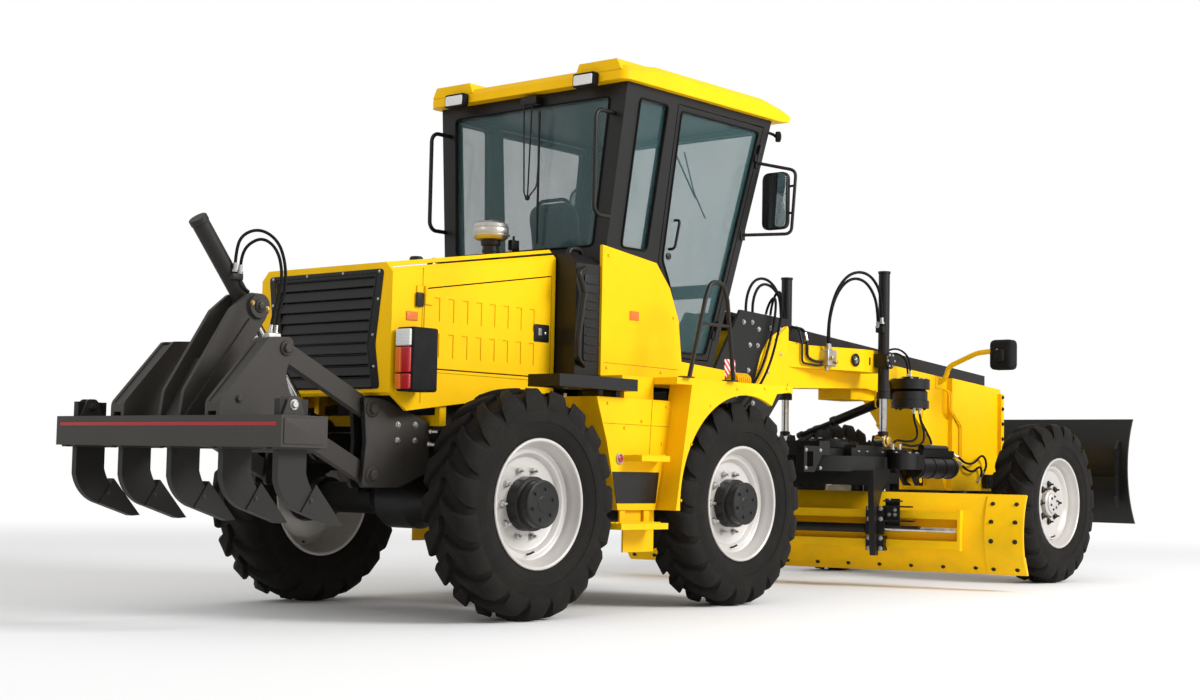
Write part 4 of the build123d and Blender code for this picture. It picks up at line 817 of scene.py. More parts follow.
for name, side in sides:
    latch = [sidePlate((0.132, 0.104, 0.012), (0.522, 0.546, 1.634), side, 0.005),
             sidePlate((0.108, 0.08, 0.008), (0.522, 0.551, 1.634), side, 0.004, 0.003)]
    makePiece(f"doorLatch_{name}", latch, f"hood_door_{name}", "black_paint")
    paddle = [sidePlate((0.03, 0.044, 0.006), (0.5, 0.555, 1.64), side, 0.006, 0.003),
              stub((0.548, side * 0.555, 1.634), (0, side, 0), 0.009, 0.004, 0.006, 0.002, 16)]
    makePiece(f"latchPaddle_{name}", paddle, f"hood_door_{name}", "bright_steel")
hinges = [sidePlate((0.052, 0.08, 0.008), (-0.492, 0.554, z), side, 0.008, 0.003)
          for _, side in sides for z in (1.447, 1.747)]
makePiece("hingePlates", hinges, "chassis", "black_paint")
reflectors = [sidePlate(size, place, side, 0.006, 0.003) for size, place in
              (((0.086, 0.05, 0.005), (-0.54, 0.546, 1.654)), ((0.088, 0.056, 0.005), (1.186, 0.714, 1.783)))
              for _, side in sides]
makePiece("sideReflectors", reflectors, "chassis", "orange_lens")

# seams between sheets: on each side of the machine, and one across the hood's top
seamSection = np.array([[-0.5, -0.5], [0.5, -0.5], [0.5, 0.5], [-0.5, 0.5]]) * [0.0035, 0.0012]
sideSeams = [
    [(-0.462, 0.5464, 1.928), (-0.462, 0.5464, 1.18)],
    [(-0.462, 0.5464, 1.355), (0.64, 0.5464, 1.352)],
    [(0.668, 0.9204, 1.108), (1.308, 0.9204, 1.104)],
    [(1.12, 0.9204, 1.258), (1.1, 0.9204, 0.93)],
    [(0.9, 0.7145, 1.48), (1.64, 0.7145, 1.475)],
]


def seam(points, out):
    # a narrow dark line where two sheets meet: a flat strip a hair proud of them
    points = np.asarray(points, float)
    return carried(points, seamSection, False, np.cross(points[1] - points[0], out))


seams = [seam(np.array(points) * [1, side, 1], (0, side, 0)) for _, side in sides for points in sideSeams]
seams.append(seam([(-0.44, -0.49, 1.9772), (-0.44, 0.49, 1.9772)], (0, 0, 1)))
makePiece("panelSeams", seams, "chassis", "seal_rubber")

neck = turned([(1.99, 0.049), (2.186, 0.049), (2.19, 0.058), (2.204, 0.062), (2.224, 0.06), (2.229, 0.078)],
              hoodSetup["cleaner"], up, 48)
cleaner = makePiece("cleanerNeck", [neck], "chassis", "black_paint")
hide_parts("pre_cleaner")
bowl = turned([(2.222, 0.06), (2.226, 0.09), (2.234, 0.101), (2.246, 0.107), (2.252, 0.109), (2.257, 0.1065),
               (2.262, 0.109), (2.29, 0.1095), (2.296, 0.1065), (2.301, 0.1095), (2.306, 0.107), (2.322, 0.1),
               (2.334, 0.084), (2.34, 0.06), (2.338, 0.03), (2.343, 0.026), (2.349, 0.012)],
              hoodSetup["cleaner"], up)
makePiece("cleanerBowl", [bowl], "chassis", "bright_steel", 28)
hoodCaps = [
    band(hoodSetup["cleaner"], up, (2.15, 2.164), (0.0495, 0.053)),
    stub((-0.405, -0.43, 1.978), up, 0.038, 0.016, 0.03, 0.008, 28),
    brick((0.665, -0.16, 2.17), (0.735, -0.125, 2.235)),
    tube([(0.7, -0.142, 2.12), (0.7, -0.142, 2.26)], 0.008, 0.01),
]
makePiece("hoodCaps", hoodCaps, "chassis", "black_paint")
print("hood dressed")

# tanks and platforms: red lamp in a ring, bare plate, deck grip, step ribs, bolts, striped marker
deckSetup = {
    "studPitch": 0.052, "stud": [(0, 0.01), (0.003, 0.006)], "x": (1.2, 2.405), "y": (0.765, 1.045), "top": 1.4,
    "tank": 0.92, "ringLamp": (0.819, 0.92, 0.902),
    "plate": [(0.752, 0.826), (0.796, 0.64), (1.168, 0.64), (1.196, 0.826)],
    "ribs": [(0.72, 1.1, 0.525, (0.935, 0.97, 1.005)), (0.9, 1.14, 0.924, (0.945, 0.975, 1.005))],
    "rib": (0.012, 0.007),
}
panelBolts = [
    (0.92, 0.008, 0.007, [(0.7, 1.225), (1.26, 1.225), (1.02, 1.13), (0.86, 1.085), (1.22, 1.0)]),
    (0.714, 0.008, 0.007, [(1.46, 1.45), (0.93, 1.45), (0.93, 2.13), (1.58, 1.8)]),
    (1.06, 0.007, 0.006, [(1.237, 0.66), (1.33, 1.0), (1.52, 1.24), (1.8, 1.355), (2.1, 1.372), (2.35, 1.384)]),
]
for name, side in sides:
    out = (0, side, 0)
    lamp = np.array(deckSetup["ringLamp"]) * [1, side, 1]
    ring = turned([(0, 0.034), (0.006, 0.034), (0.01, 0.03), (0.01, 0.025), (0.005, 0.023)], lamp, out, 28)
    makePiece(f"lampRing_{name}", [ring], "chassis", "bright_steel")
    dome = turned([(0.004, 0.023), (0.01, 0.02), (0.014, 0.01)], lamp, out, 24)
    makePiece(f"ringLens_{name}", [dome], "chassis", "red_lens")
    plate = pad(roundedOutline(deckSetup["plate"], 0.006, 3), (0, side * deckSetup["tank"], 0), out, (1, 0, 0),
                0.003, 0.001)
    makePiece(f"barePlate_{name}", [plate], "chassis", "black_paint")
    u, v = np.meshgrid(*(np.arange(*deckSetup[way], deckSetup["studPitch"]) for way in "xy"))
    places = np.stack([u.ravel(), side * v.ravel(), np.full(u.size, deckSetup["top"])], -1)
    deckStuds = spread(turned(deckSetup["stud"], (0, 0, 0), up, 8), places, up)
    makePiece(f"deckStuds_{name}", [deckStuds], "chassis", "yellow_paint")
    wide, high = deckSetup["rib"]
    ribs = [sideBrick((x0, y, z), (x1, y + wide, z + high), side, 0.003)
            for x0, x1, z, ys in deckSetup["ribs"] for y in ys]
    makePiece(f"stepRibs_{name}", ribs, "chassis", "yellow_paint")
fasteners = []
for _, side in sides:
    for wall, radius, height, places in panelBolts:
        fasteners.append(bolts([(x, side * wall, z) for x, z in places], (0, side, 0), radius, height))
    fasteners.append(bolts([(x, side * y, 1.408) for x in (1.248, 1.296, 1.701, 1.749) for y in (1.032, 1.056)],
                           up, 0.007, 0.006))
makePiece("panelBolts", fasteners, "chassis", "yellow_paint")
markers = [sidePlate((0.12, 0.135, 0.012), (2.29, 0.64, 1.515), side, 0.008, 0.003) for _, side in sides]
makePiece("stripedMarkers", markers, "chassis", "marker_stripes")
posts = [sideBrick((2.28, 0.632, 1.4), (2.3, 0.64, 1.52), side, 0.002) for _, side in sides]
makePiece("markerPosts", posts, "chassis", "black_paint")
print("platforms dressed")


def hose(name, points, diameter, holder, other, start, end, lay):
    # the centreline is one open smooth spline over the points, and its points are read from it
    curve = bpy.data.curves.new(name + "Line", "CURVE")
    curve.dimensions = "3D"
    curve.resolution_u = 10
    spline = curve.splines.new("NURBS")
    spline.points.add(len(points) - 1)
    route = np.asarray(points, float) + [rearAxle, 0, 0]
    spline.points.foreach_set("co", np.column_stack([route, np.ones(len(route))]).ravel())
    spline.order_u = 3
    spline.use_endpoint_u = True
    form = bpy.data.objects.new(name + "Line", curve)
    bare = bpy.data.meshes.new_from_object(form)
    line = np.zeros(len(bare.vertices) * 3)
    bare.vertices.foreach_get("co", line)
    line = line.reshape(-1, 3)
    curve.bevel_depth = diameter / 2
    curve.bevel_resolution = 3
    curve.use_fill_caps = True
    mesh = bpy.data.meshes.new_from_object(form)
    mesh.name = name
    bpy.data.objects.remove(form)
    mesh.materials.clear()
    mesh.materials.append(finishes["hose_rubber"])
    mesh.polygons.foreach_set("use_smooth", np.ones(len(mesh.polygons), bool))
    mesh.set_sharp_from_angle(angle=math.radians(50))
    piece = bpy.data.objects.new(name, mesh)
    bpy.context.collection.objects.link(piece)
    ends = (("Near", line[0], line[2], holder), ("Far", line[-1], line[-3], other or holder))
    sleeve = [(-0.003, 0.95), (0.01, 0.95), (0.011, 0.68), (0.044, 0.64), (0.046, 0.52)]
    for word, at, inward, body in ends:
        makePiece(name + word, [turned([(a, r * diameter) for a, r in sleeve], at, inward - at, 12)], body,
                  "bright_steel", 30, False)
    if other:
        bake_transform(piece)
    else:
        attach(piece, holder)


# hoses: the routes of the right side; each group's thickness, what it rides, and where it crosses to another body
liftHoses = [
    [(4.512, -0.464, 1.995), (4.51, -0.464, 2.09), (4.482, -0.462, 2.25), (4.355, -0.458, 2.35),
     (4.2, -0.447, 2.368), (4.055, -0.43, 2.318), (3.945, -0.407, 2.19), (3.905, -0.382, 2.02),
     (3.935, -0.35, 1.88), (3.962, -0.336, 1.81), (3.966, -0.334, 1.765)],
    [(4.512, -0.43, 1.965), (4.508, -0.43, 2.06), (4.47, -0.43, 2.195), (4.35, -0.427, 2.298),
     (4.205, -0.416, 2.322), (4.08, -0.399, 2.275), (3.985, -0.376, 2.155), (3.955, -0.35, 2.0),
     (3.985, -0.325, 1.87), (4.002, -0.322, 1.805), (4.004, -0.32, 1.765)],
]
ripperHoses = [
    [(-1.374, -0.06, 1.846), (-1.378, -0.066, 1.94), (-1.362, -0.088, 2.04), (-1.27, -0.13, 2.082),
     (-1.19, -0.19, 2.02), (-1.185, -0.25, 1.88), (-1.225, -0.292, 1.73), (-1.285, -0.312, 1.61),
     (-1.3, -0.318, 1.51)],
    [(-1.338, -0.058, 1.838), (-1.341, -0.064, 1.92), (-1.318, -0.09, 1.995), (-1.255, -0.14, 2.035),
     (-1.208, -0.205, 1.97), (-1.218, -0.262, 1.84), (-1.268, -0.3, 1.71), (-1.322, -0.318, 1.6),
     (-1.336, -0.318, 1.51)],
]
swivelHoses = [
    [(5.06, -0.43, 1.369), (5.06, -0.43, 1.28), (5.1, -0.445, 1.19), (5.06, -0.455, 1.115),
     (4.93, -0.43, 1.1), (4.85, -0.41, 1.115), (4.8, -0.4, 1.09), (4.795, -0.398, 1.038)],
    [(5.105, -0.455, 1.369), (5.105, -0.455, 1.29), (5.15, -0.475, 1.195), (5.115, -0.49, 1.09),
     (4.98, -0.465, 1.065), (4.9, -0.44, 1.08), (4.85, -0.432, 1.075), (4.845, -0.43, 1.038)],
    [(5.15, -0.43, 1.369), (5.15, -0.43, 1.29), (5.205, -0.455, 1.2), (5.235, -0.485, 1.12),
     (5.225, -0.5, 1.07), (5.222, -0.5, 1.043)],
]
coverHoses = [
    [(4.88, -0.158, 1.74), (4.9, -0.215, 1.785), (5.0, -0.29, 1.85), (5.11, -0.34, 1.8),
     (5.135, -0.352, 1.7), (5.135, -0.355, 1.622)],
    [(4.94, -0.158, 1.735), (4.96, -0.205, 1.77), (5.06, -0.262, 1.815), (5.165, -0.292, 1.77),
     (5.185, -0.3, 1.69), (5.185, -0.302, 1.602)],
]
mountHoses = [
    [(3.52, -0.11, 1.95), (3.52, -0.118, 2.04), (3.5, -0.17, 2.15), (3.44, -0.262, 2.16),
     (3.4, -0.3, 2.02), (3.36, -0.302, 1.86), (3.24, -0.3, 1.57), (3.03, -0.292, 1.34),
     (2.8, -0.29, 1.18), (2.62, -0.29, 1.08), (2.52, -0.285, 1.04), (2.48, -0.252, 1.02)],
    [(3.46, -0.11, 1.953), (3.46, -0.118, 2.02), (3.45, -0.17, 2.105), (3.395, -0.248, 2.11),
     (3.35, -0.278, 1.99), (3.31, -0.28, 1.85), (3.19, -0.278, 1.57), (2.98, -0.274, 1.35),
     (2.76, -0.274, 1.2), (2.56, -0.272, 1.1), (2.44, -0.27, 1.05), (2.4, -0.252, 1.02)],
]
steerHoses = [
    [(6.02, -0.252, 1.02), (6.05, -0.285, 1.0), (6.14, -0.3, 0.945), (6.29, -0.305, 0.95),
     (6.41, -0.305, 1.03), (6.5, -0.3, 0.99), (6.525, -0.29, 0.9), (6.5, -0.252, 0.85)],
    [(6.1, -0.252, 0.96), (6.12, -0.275, 0.94), (6.19, -0.288, 0.89), (6.31, -0.29, 0.88),
     (6.4, -0.29, 0.93), (6.455, -0.285, 0.9), (6.46, -0.275, 0.84), (6.44, -0.252, 0.8)],
]
railHoses = [
    [(-0.29, -0.456, 1.03), (-0.262, -0.5, 1.03), (-0.18, -0.52, 1.01), (-0.04, -0.52, 0.96),
     (0.09, -0.51, 0.93), (0.2, -0.48, 0.94), (0.235, -0.432, 0.945)],
    [(-0.3, -0.456, 0.96), (-0.28, -0.49, 0.955), (-0.2, -0.505, 0.93), (-0.08, -0.505, 0.88),
     (0.04, -0.5, 0.85), (0.14, -0.475, 0.86), (0.17, -0.432, 0.865)],
]
bladeHoses = [
    [(6.852, -0.15, 1.5), (6.905, -0.15, 1.512), (6.985, -0.155, 1.52), (7.045, -0.155, 1.46),
     (7.055, -0.145, 1.38), (7.03, -0.115, 1.335), (6.996, -0.088, 1.33), (6.994, -0.045, 1.33)],
]
hoseGroups = [
    {"name": "liftHose", "pair": True, "diameter": 0.022, "routes": liftHoses, "holder": "lift_barrel_{}",
     "other": "chassis", "start": (4.48, -0.45, 2.0), "end": (4.02, -0.33, 1.8)},
    {"name": "ripperHose", "pair": False, "diameter": 0.017, "routes": ripperHoses, "holder": "ripper_barrel",
     "other": "ripper", "start": (-1.35, -0.09, 1.85), "end": (-1.31, -0.318, 1.56)},
    {"name": "swivelHose", "pair": False, "diameter": 0.018, "routes": swivelHoses, "holder": "chassis",
     "other": "drawbar", "start": (5.08, -0.44, 1.33), "end": (5.0, -0.46, 1.1), "lay": "hanging"},
    {"name": "coverHose", "pair": False, "diameter": 0.016, "routes": coverHoses, "holder": "chassis"},
    {"name": "mountHose", "pair": False, "diameter": 0.019, "routes": mountHoses, "holder": "chassis"},
    {"name": "bladeHose", "pair": True, "diameter": 0.014, "routes": bladeHoses, "holder": "chassis",
     "other": "dozer_barrel", "start": (6.9, -0.15, 1.5), "end": (7.0, -0.08, 1.34)},
    {"name": "steerHose", "pair": False, "diameter": 0.019, "routes": steerHoses, "holder": "chassis"},
    {"name": "railHose", "pair": True, "diameter": 0.016, "routes": railHoses, "holder": "chassis"},
]
for group in hoseGroups:
    for word, side in sides if group["pair"] else [("", -1)]:
        flip = np.array([1, -side, 1])
        ends = [np.multiply(group[key], flip) if key in group else None for key in ("start", "end")]
        for index, route in enumerate(group["routes"]):
            number = index + 1 if len(group["routes"]) > 1 else ""
            name = f"{group['name']}{number}_{word}".rstrip("_")
            hose(name, route * flip, group["diameter"], group["holder"].format(word), group.get("other"), *ends,
                 group.get("lay", "loose"))
print("hoses laid")

# neck: valves on the saddle, bosses, bolted mount plates, swivel fittings, steel lines
neckSetup = {
    "mountBolts": [(2.995, 1.9), (3.1, 1.905), (3.182, 1.862), (3.075, 1.742), (3.17, 1.745), (3.33, 1.88),
                   (3.45, 1.88), (3.455, 1.7), (3.3, 1.56), (3.06, 1.56), (2.92, 1.38), (3.12, 1.33),
                   (2.76, 1.16), (2.56, 0.93), (2.3, 0.93)],
    "postSide": [1.03, 1.17, 1.3, 1.43, 1.53],
    "postFront": [1.01, 1.15, 1.29, 1.43, 1.54],
    "wideLine": [(3.8, 0.15, 1.925), (3.8, 0.225, 1.905), (3.8, 0.258, 1.8), (3.8, 0.258, 1.7),
                 (3.87, 0.276, 1.672), (3.942, 0.296, 1.672)],
    "thinLine": [(3.75, 0.15, 1.928), (3.75, 0.215, 1.908), (3.75, 0.246, 1.8), (3.75, 0.246, 1.655),
                 (3.9, 0.286, 1.64), (3.96, 0.3, 1.65)],
    "swivel": (5.13, -0.355),
}
steel, brass, black = [], [], []
for _, side in sides:
    out, flip = (0, side, 0), np.array([1, side, 1])
    steel.append(sideBrick((3.94, 0.262, 1.64), (4.06, 0.352, 1.762), side, 0.01))
    steel.append(stub((4.0, side * 0.3, 1.64), (0, 0, -1), 0.013, 0.03, 0.008))
    steel.append(stub((3.8, side * 0.234, 1.88), (0, side * 0.3, -1), 0.015, 0.06, 0.01))
    steel.append(bolts([(4.293, side * 0.369, 1.704)], out, 0.02, 0.014))
    steel.append(bolts([(x, side * 0.25, z) for x, z in neckSetup["mountBolts"]], out, 0.013, 0.012))
    brass.append(stub((3.975, side * 0.352, 1.7), out, 0.016, 0.022, 0.01))
    brass.append(stub((4.028, side * 0.352, 1.672), out, 0.014, 0.02, 0.009))
    black.append(turned([(0, 0.05), (0.01, 0.05), (0.014, 0.045), (0.013, 0.03), (0.005, 0.027)],
                        (4.293, side * 0.365, 1.704), out, 32))
    black.append(sidePlate((0.02, 0.062, 0.009), (4.462, 0.39, 1.704), side, 0.002, 0.001))
    black.append(tube(neckSetup["wideLine"] * flip, 0.01, 0.03))
    black.append(tube(neckSetup["thinLine"] * flip, 0.008, 0.03))
    black.append(bolts([(6.824, side * 0.285, z) for z in neckSetup["postSide"]], out, 0.013, 0.012))
    black.append(bolts([(6.85, side * 0.262, z) for z in neckSetup["postFront"]], (1, 0, 0), 0.011, 0.01))
    black.append(bolts([(x, side * 0.15, 1.868 - 0.066 * (x - 3.0)) for x in np.arange(3.7, 6.7, 0.42)], out,
                       0.009, 0.008))
steel.append(bolts(ringOf((*neckSetup["swivel"], 1.6), 0.132, 10), up, 0.01, 0.01))
black.append(bolts(ringOf((*neckSetup["swivel"], 1.37), 0.115, 5), (0, 0, -1), 0.012, 0.014))
black.append(turned([(1.428, 0.128), (1.432, 0.138), (1.5, 0.138), (1.518, 0.118)], (*neckSetup["swivel"], 0), up,
                    40))
yellowLines = [tube([(5.93, -0.2 - 0.01 * k, 1.56), (5.93 + 0.03 * k, -0.258, 1.54), (5.93 + 0.03 * k, -0.26, 1.4),
                     (6.11 + 0.03 * k, -0.262, 1.26), (6.11 + 0.03 * k, -0.262, 1.0)], 0.007, 0.03) for k in (0, 1)]
makePiece("steelLines", yellowLines, "chassis", "yellow_paint")
makePiece("neckSteelParts", steel, "chassis", "bright_steel", 30)
makePiece("neckBrassParts", brass, "chassis", "brass", 30)
makePiece("neckBlackParts", black, "chassis", "black_paint", 30)

# lift cylinders: gland, top cap, trunnion cap and hose block on the barrel, ball cap and collar on the rod
liftSetup = {
    "axis": (4.565, 0.45, 0),
    "trunnion": (4.565, 0.5, 1.71),
    "trunnionBolts": (4.565, 0.518, 1.71),
    "boltCircle": 0.048,
    "ball": (4.565, 0.474, 1.1),
}
for name, side in sides:
    out, flip = (0, side, 0), np.array([1, side, 1])
    middle = liftSetup["axis"] * flip
    barrel = [
        band(middle, up, (1.42, 1.468), (0.0435, 0.053), 40, 0.006),
        turned([(2.38, 0.0433), (2.384, 0.048), (2.4, 0.048), (2.402, 0.03)], middle, up, 40),
        turned([(0.0, 0.062), (0.014, 0.062), (0.018, 0.056), (0.018, 0.034), (0.026, 0.032)],
               liftSetup["trunnion"] * flip, out, 36),
        sideBrick((4.498, 0.415, 1.925), (4.53, 0.482, 1.975), side),
    ]
    makePiece(f"liftBarrelParts_{name}", barrel, f"lift_barrel_{name}", "black_paint", 30)
    places = ringOf(liftSetup["trunnionBolts"] * flip, liftSetup["boltCircle"], 6, False)
    makePiece(f"trunnionBolts_{name}", [bolts(places, out, 0.007, 0.007)], f"lift_barrel_{name}", "bright_steel", 30)
    cap = turned([(0, 0.047), (0.01, 0.047), (0.014, 0.036), (0.03, 0.034), (0.038, 0.026), (0.04, 0.012)],
                 liftSetup["ball"] * flip, out, 32)
    makePiece(f"ballCap_{name}", [cap], f"lift_rod_{name}", "brass", 30)
    collar = band(middle, up, (1.128, 1.166), (0.0295, 0.04), 32, 0.006)
    makePiece(f"rodCollar_{name}", [collar], f"lift_rod_{name}", "black_paint", 30)
print("neck and cylinders dressed")

# drawbar: cover bolts, motor ribs and ports
motor = (0, -0.5, 0.905)
drawbarBlack = [
    bolts(ringOf((4.5, 0, 1.085), 0.2, 12), up, 0.013, 0.012),
    turned([(5.496, 0.086), (5.512, 0.086), (5.518, 0.07), (5.53, 0.04)], motor, (1, 0, 0), 40),
    tube([(5.06, -0.5, 1.052), (5.44, -0.5, 1.052)], 0.03, 0.01, 20),
    *[band(motor, (1, 0, 0), (x, x + 0.016), (0.0845, 0.0895)) for x in (4.975, 5.15, 5.32, 5.47)],
]
makePiece("drawbarParts", drawbarBlack, "drawbar", "black_paint", 30)
drawbarSteel = [
    bolts(ringOf((4.5, 0, 1.11), 0.122, 6), up, 0.01, 0.01),
    bolts(ringOf((4.78, -0.5, 1.01), 0.1, 6), up, 0.01, 0.01),
    stub((4.995, -0.5, 0.985), up, 0.016, 0.03, 0.01),
    bolts([(x, side * 0.4, 1.01) for _, side in sides for x in (4.3, 4.42, 4.64)], up, 0.01, 0.01),
    bolts([(x, -0.4, z) for x in (3.585, 3.775) for z in (0.88, 1.01)], (0, -1, 0), 0.01, 0.01),
]
makePiece("drawbarSteelParts", drawbarSteel, "drawbar", "bright_steel", 30)

# cylinder that shifts the drawbar sideways: it hangs between the saddle and the drawbar's far side
shiftStart, shiftEnd = np.array([4.72, -0.33, 1.4]), np.array([4.72, 0.415, 1.14])
shiftLong = float(np.linalg.norm(shiftEnd - shiftStart))
shiftCylinder = turned([(-0.012, 0.026), (0.03, 0.034), (0.04, 0.036), (0.425, 0.036), (0.428, 0.041),
                        (0.462, 0.041), (0.466, 0.022), (0.47, 0.019), (shiftLong - 0.05, 0.019),
                        (shiftLong - 0.03, 0.03), (shiftLong + 0.012, 0.026)], shiftStart, shiftEnd - shiftStart, 32)
shift = makePiece("shiftCylinder", [shiftCylinder], None, "black_paint", 30)
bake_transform(shift)
shiftLugs = [pad(oblong(0.07, 0.14, 0.02), (4.72, y, 1.43), (0, -1, 0), (1, 0, 0), 0.012, 0.003)
             for y in (-0.3, -0.348)]
shiftLugs.append(turned([(-0.058, 0.016), (0.008, 0.016)], (4.72, -0.308, 1.4), (0, -1, 0), 20))
makePiece("shiftLugs", shiftLugs, "chassis", "yellow_paint", 30)

# blade: end plates, bolts along the edge, and the slide cylinder between the arms
bladeSetup = {
    "middle": 4.36,
    "angle": math.radians(14.3),
    "back": [(0.032, 0.712), (-0.088, 0.392), (0.054, 0.12)],
    "endBolts": [0.165, 0.37, 0.51, 0.64],
    "slide": (-0.186, 0.44),
    "arm": 0.52,
    "guides": [(0.452, 0.86), (0.494, 0.82), (0.6, 0.8), (0.64, 0.72)],
}


def bladeArc(heights):
    # the circle through three points of the blade's back, and how far forward it is at each height
    (a, b), (c, d), (e, g) = bladeSetup["back"]
    chords = np.array([[c - a, d - b], [e - a, g - b]]) * 2
    centre = np.linalg.solve(chords, [c * c + d * d - a * a - b * b, e * e + g * g - a * a - b * b])
    radius = np.hypot(a - centre[0], b - centre[1])
    return centre[0] - np.sqrt(radius ** 2 - (heights - centre[1]) ** 2)


def bladePlace(along, forward, height):
    # along the blade to the right, forward off it, and up, turned by the blade's angle about the circle
    along, forward, height = np.broadcast_arrays(np.asarray(along, float), forward, height)
    cos, sin = math.cos(bladeSetup["angle"]), math.sin(bladeSetup["angle"])
    return np.stack([bladeSetup["middle"] + along * sin + forward * cos, -along * cos + forward * sin, height], -1)


def bladeSheet(section, start, end):
    # a section across the blade drawn out between two places along it
    section = np.asarray(section, float)
    return skin(np.stack([bladePlace(along, section[:, 0], section[:, 1]) for along in (start, end)]))


def bladeBar(across, heights, ends):
    # a bar along the blade, from its span across, its lower and upper edge and its two ends
    (x0, x1), (z0, z1) = across, heights
    return bladeSheet([(x0, z0), (x0, z1), (x1, z1), (x1, z0)], *sorted(ends))


bladeWay = (math.sin(bladeSetup["angle"]), -math.cos(bladeSetup["angle"]), 0)
bladeBack = (-math.cos(bladeSetup["angle"]), -math.sin(bladeSetup["angle"]), 0)
heights = np.linspace(0.135, 0.7, 14)
arc = bladeArc(heights)
endSection = np.vstack([np.stack([arc + 0.002, heights], -1), np.stack([arc - 0.012, heights], -1)[::-1]])
endPlates = [bladeSheet(endSection, 1.315, 1.598), bladeSheet(endSection, -1.598, -1.315)]
makePiece("bladeEndPlates", endPlates, "moldboard", "yellow_paint", 30)
rows = np.array(bladeSetup["endBolts"])
plateBolts = [bolts(bladePlace(side * along, bladeArc(rows) - 0.012, rows), bladeBack, 0.013, 0.011)
              for _, side in sides for along in (1.365, 1.54)]
alongs = np.arange(-1.22, 1.25, 0.245)
low = np.full(alongs.shape, 0.168)
plateBolts.append(bolts(bladePlace(alongs, bladeArc(low) - 0.001, low), bladeBack, 0.012, 0.01))
makePiece("bladeBolts", plateBolts, "moldboard", "black_paint", 30)
makePiece("bladeRib", [bladeBar((-0.15, -0.055), (0.436, 0.46), (-1.13, 1.13))], "moldboard", "yellow_paint", 30)
slidePlace = bladePlace(0.0, *bladeSetup["slide"])
slideBarrel = turned([(-0.56, 0.024), (-0.56, 0.034), (0.44, 0.034), (0.446, 0.03), (0.446, 0.024)], slidePlace,
                     bladeWay, 32, True)
makePiece("slideBarrel", [slideBarrel], "circle", "black_paint", 30)
slideRod = turned([(0.15, 0.018), (1.126, 0.018)], slidePlace, bladeWay, 24)
makePiece("slideRod", [slideRod], "moldboard", "chrome_rod", 30)
armBolts, guides, guideBolts, armPlates = [], [], [], []
for _, side in sides:
    arm = side * bladeSetup["arm"]
    for z in (0.291, 0.369, 0.511, 0.589):
        armBolts.append(bolts(bladePlace(np.array([arm - 0.045, arm + 0.045]), -0.21, z), bladeBack, 0.013, 0.012))
    for z, end in bladeSetup["guides"]:
        guides.append(bladeBar((-0.236, -0.164), (z, z + 0.012), (side * 0.59, side * end)))
    guides.append(bladeBar((-0.176, -0.164), (0.44, 0.664), (side * 0.59, side * 0.7)))
    guidePlaces = bladePlace(side * np.array([0.62, 0.665, 0.62, 0.665]), -0.177,
                             np.array([0.545, 0.545, 0.652, 0.582]))
    guideBolts.append(bolts(guidePlaces, bladeBack, 0.01, 0.01))
    armPlates.append(bladeBar((-0.214, -0.205), (0.395, 0.49), (arm - 0.072, arm + 0.072)))
makePiece("armBolts", armBolts, "circle", "bright_steel", 30)
makePiece("armGuides", guides, "circle", "black_paint", 30)
makePiece("guideBolts", guideBolts, "circle", "bright_steel", 30)
makePiece("armPlates", armPlates, "circle", "black_paint", 30)
print("blade dressed")

# ripper: pins, bolts, stripe, the beam's end plates, hose bracket, faces of the hitch, and the barrel's rings
ripperSetup = {
    "plate": 0.455,
    "hitchPins": [(-0.73, 1.14), (-0.722, 0.782)],
    "hitchBolts": [(-0.533, 1.058), (-0.402, 1.061), (-0.535, 0.973), (-0.403, 0.975)],
    "linkPins": [(-1.34, 1.428), (-1.332, 1.07)],
    "towerPin": (-1.24, 0.0, 1.67),
    "ramWay": (0.56, 0.0, -0.72),
    "hitch": [(-0.795, 1.2), (-0.65, 1.2), (-0.29, 1.08), (-0.29, 0.8), (-0.52, 0.712), (-0.795, 0.712),
              (-0.77, 0.96)],
    "shanks": [-0.84, -0.42, 0.0, 0.42, 0.84],
}
hitchGrey, hitchSteel, hitchFaces, ripperGrey, ripperSteel, ripperBrass = ([] for _ in range(6))
hitchOutline = drawnIn(roundedOutline(ripperSetup["hitch"], 0.03), 0.004)
for _, side in sides:
    out, plate = (0, side, 0), side * ripperSetup["plate"]
    for x, z in ripperSetup["hitchPins"]:
        hitchGrey.append(stub((x, plate, z), out, 0.046, 0.008, 0.042, 0.003, 28))
        hitchGrey.append(bolts([(x, plate + side * 0.009, z)], out, 0.03, 0.022))
    hitchSteel.append(bolts([(x, plate, z) for x, z in ripperSetup["hitchBolts"]], out, 0.014, 0.012))
    hitchFaces.append(pad(hitchOutline, (0, plate, 0), out, (1, 0, 0), 0.0016, 0.0008))
    for x, z in ripperSetup["linkPins"]:
        ripperGrey.append(stub((x, plate, z), out, 0.04, 0.007, 0.036, 0.003, 28))
        ripperGrey.append(bolts([(x, plate + side * 0.008, z)], out, 0.026, 0.02))
    ripperGrey.append(bolts([(-1.636, plate, 1.155)], out, 0.017, 0.014))
    ripperGrey.append(bolts([(-1.632, side * 0.805, 1.122)], (0, -side, 0), 0.017, 0.014))
    ripperGrey.append(stub((-1.24, side * 0.115, 1.67), out, 0.036, 0.006, 0.03, 0.003, 28))
    ripperGrey.append(bolts([(-1.24, side * 0.123, 1.67)], out, 0.024, 0.016))
    ripperGrey.append(sidePlate((0.262, 0.126, 0.01), (-1.615, 0.938, 0.991), side, 0.005))
    ripperGrey.append(pad(oblong(0.022, 0.1, 0.004), (-1.3, side * 0.34, 1.4), (0, -side, 0), (1, 0, 0), 0.012))
    ripperSteel.append(bolts([(-1.632, side * 0.875, 1.122)], out, 0.019, 0.016))
    ripperBrass.append(bolts([(-1.292, side * 0.115, 1.682), (-1.19, side * 0.115, 1.658)], out, 0.01, 0.01))
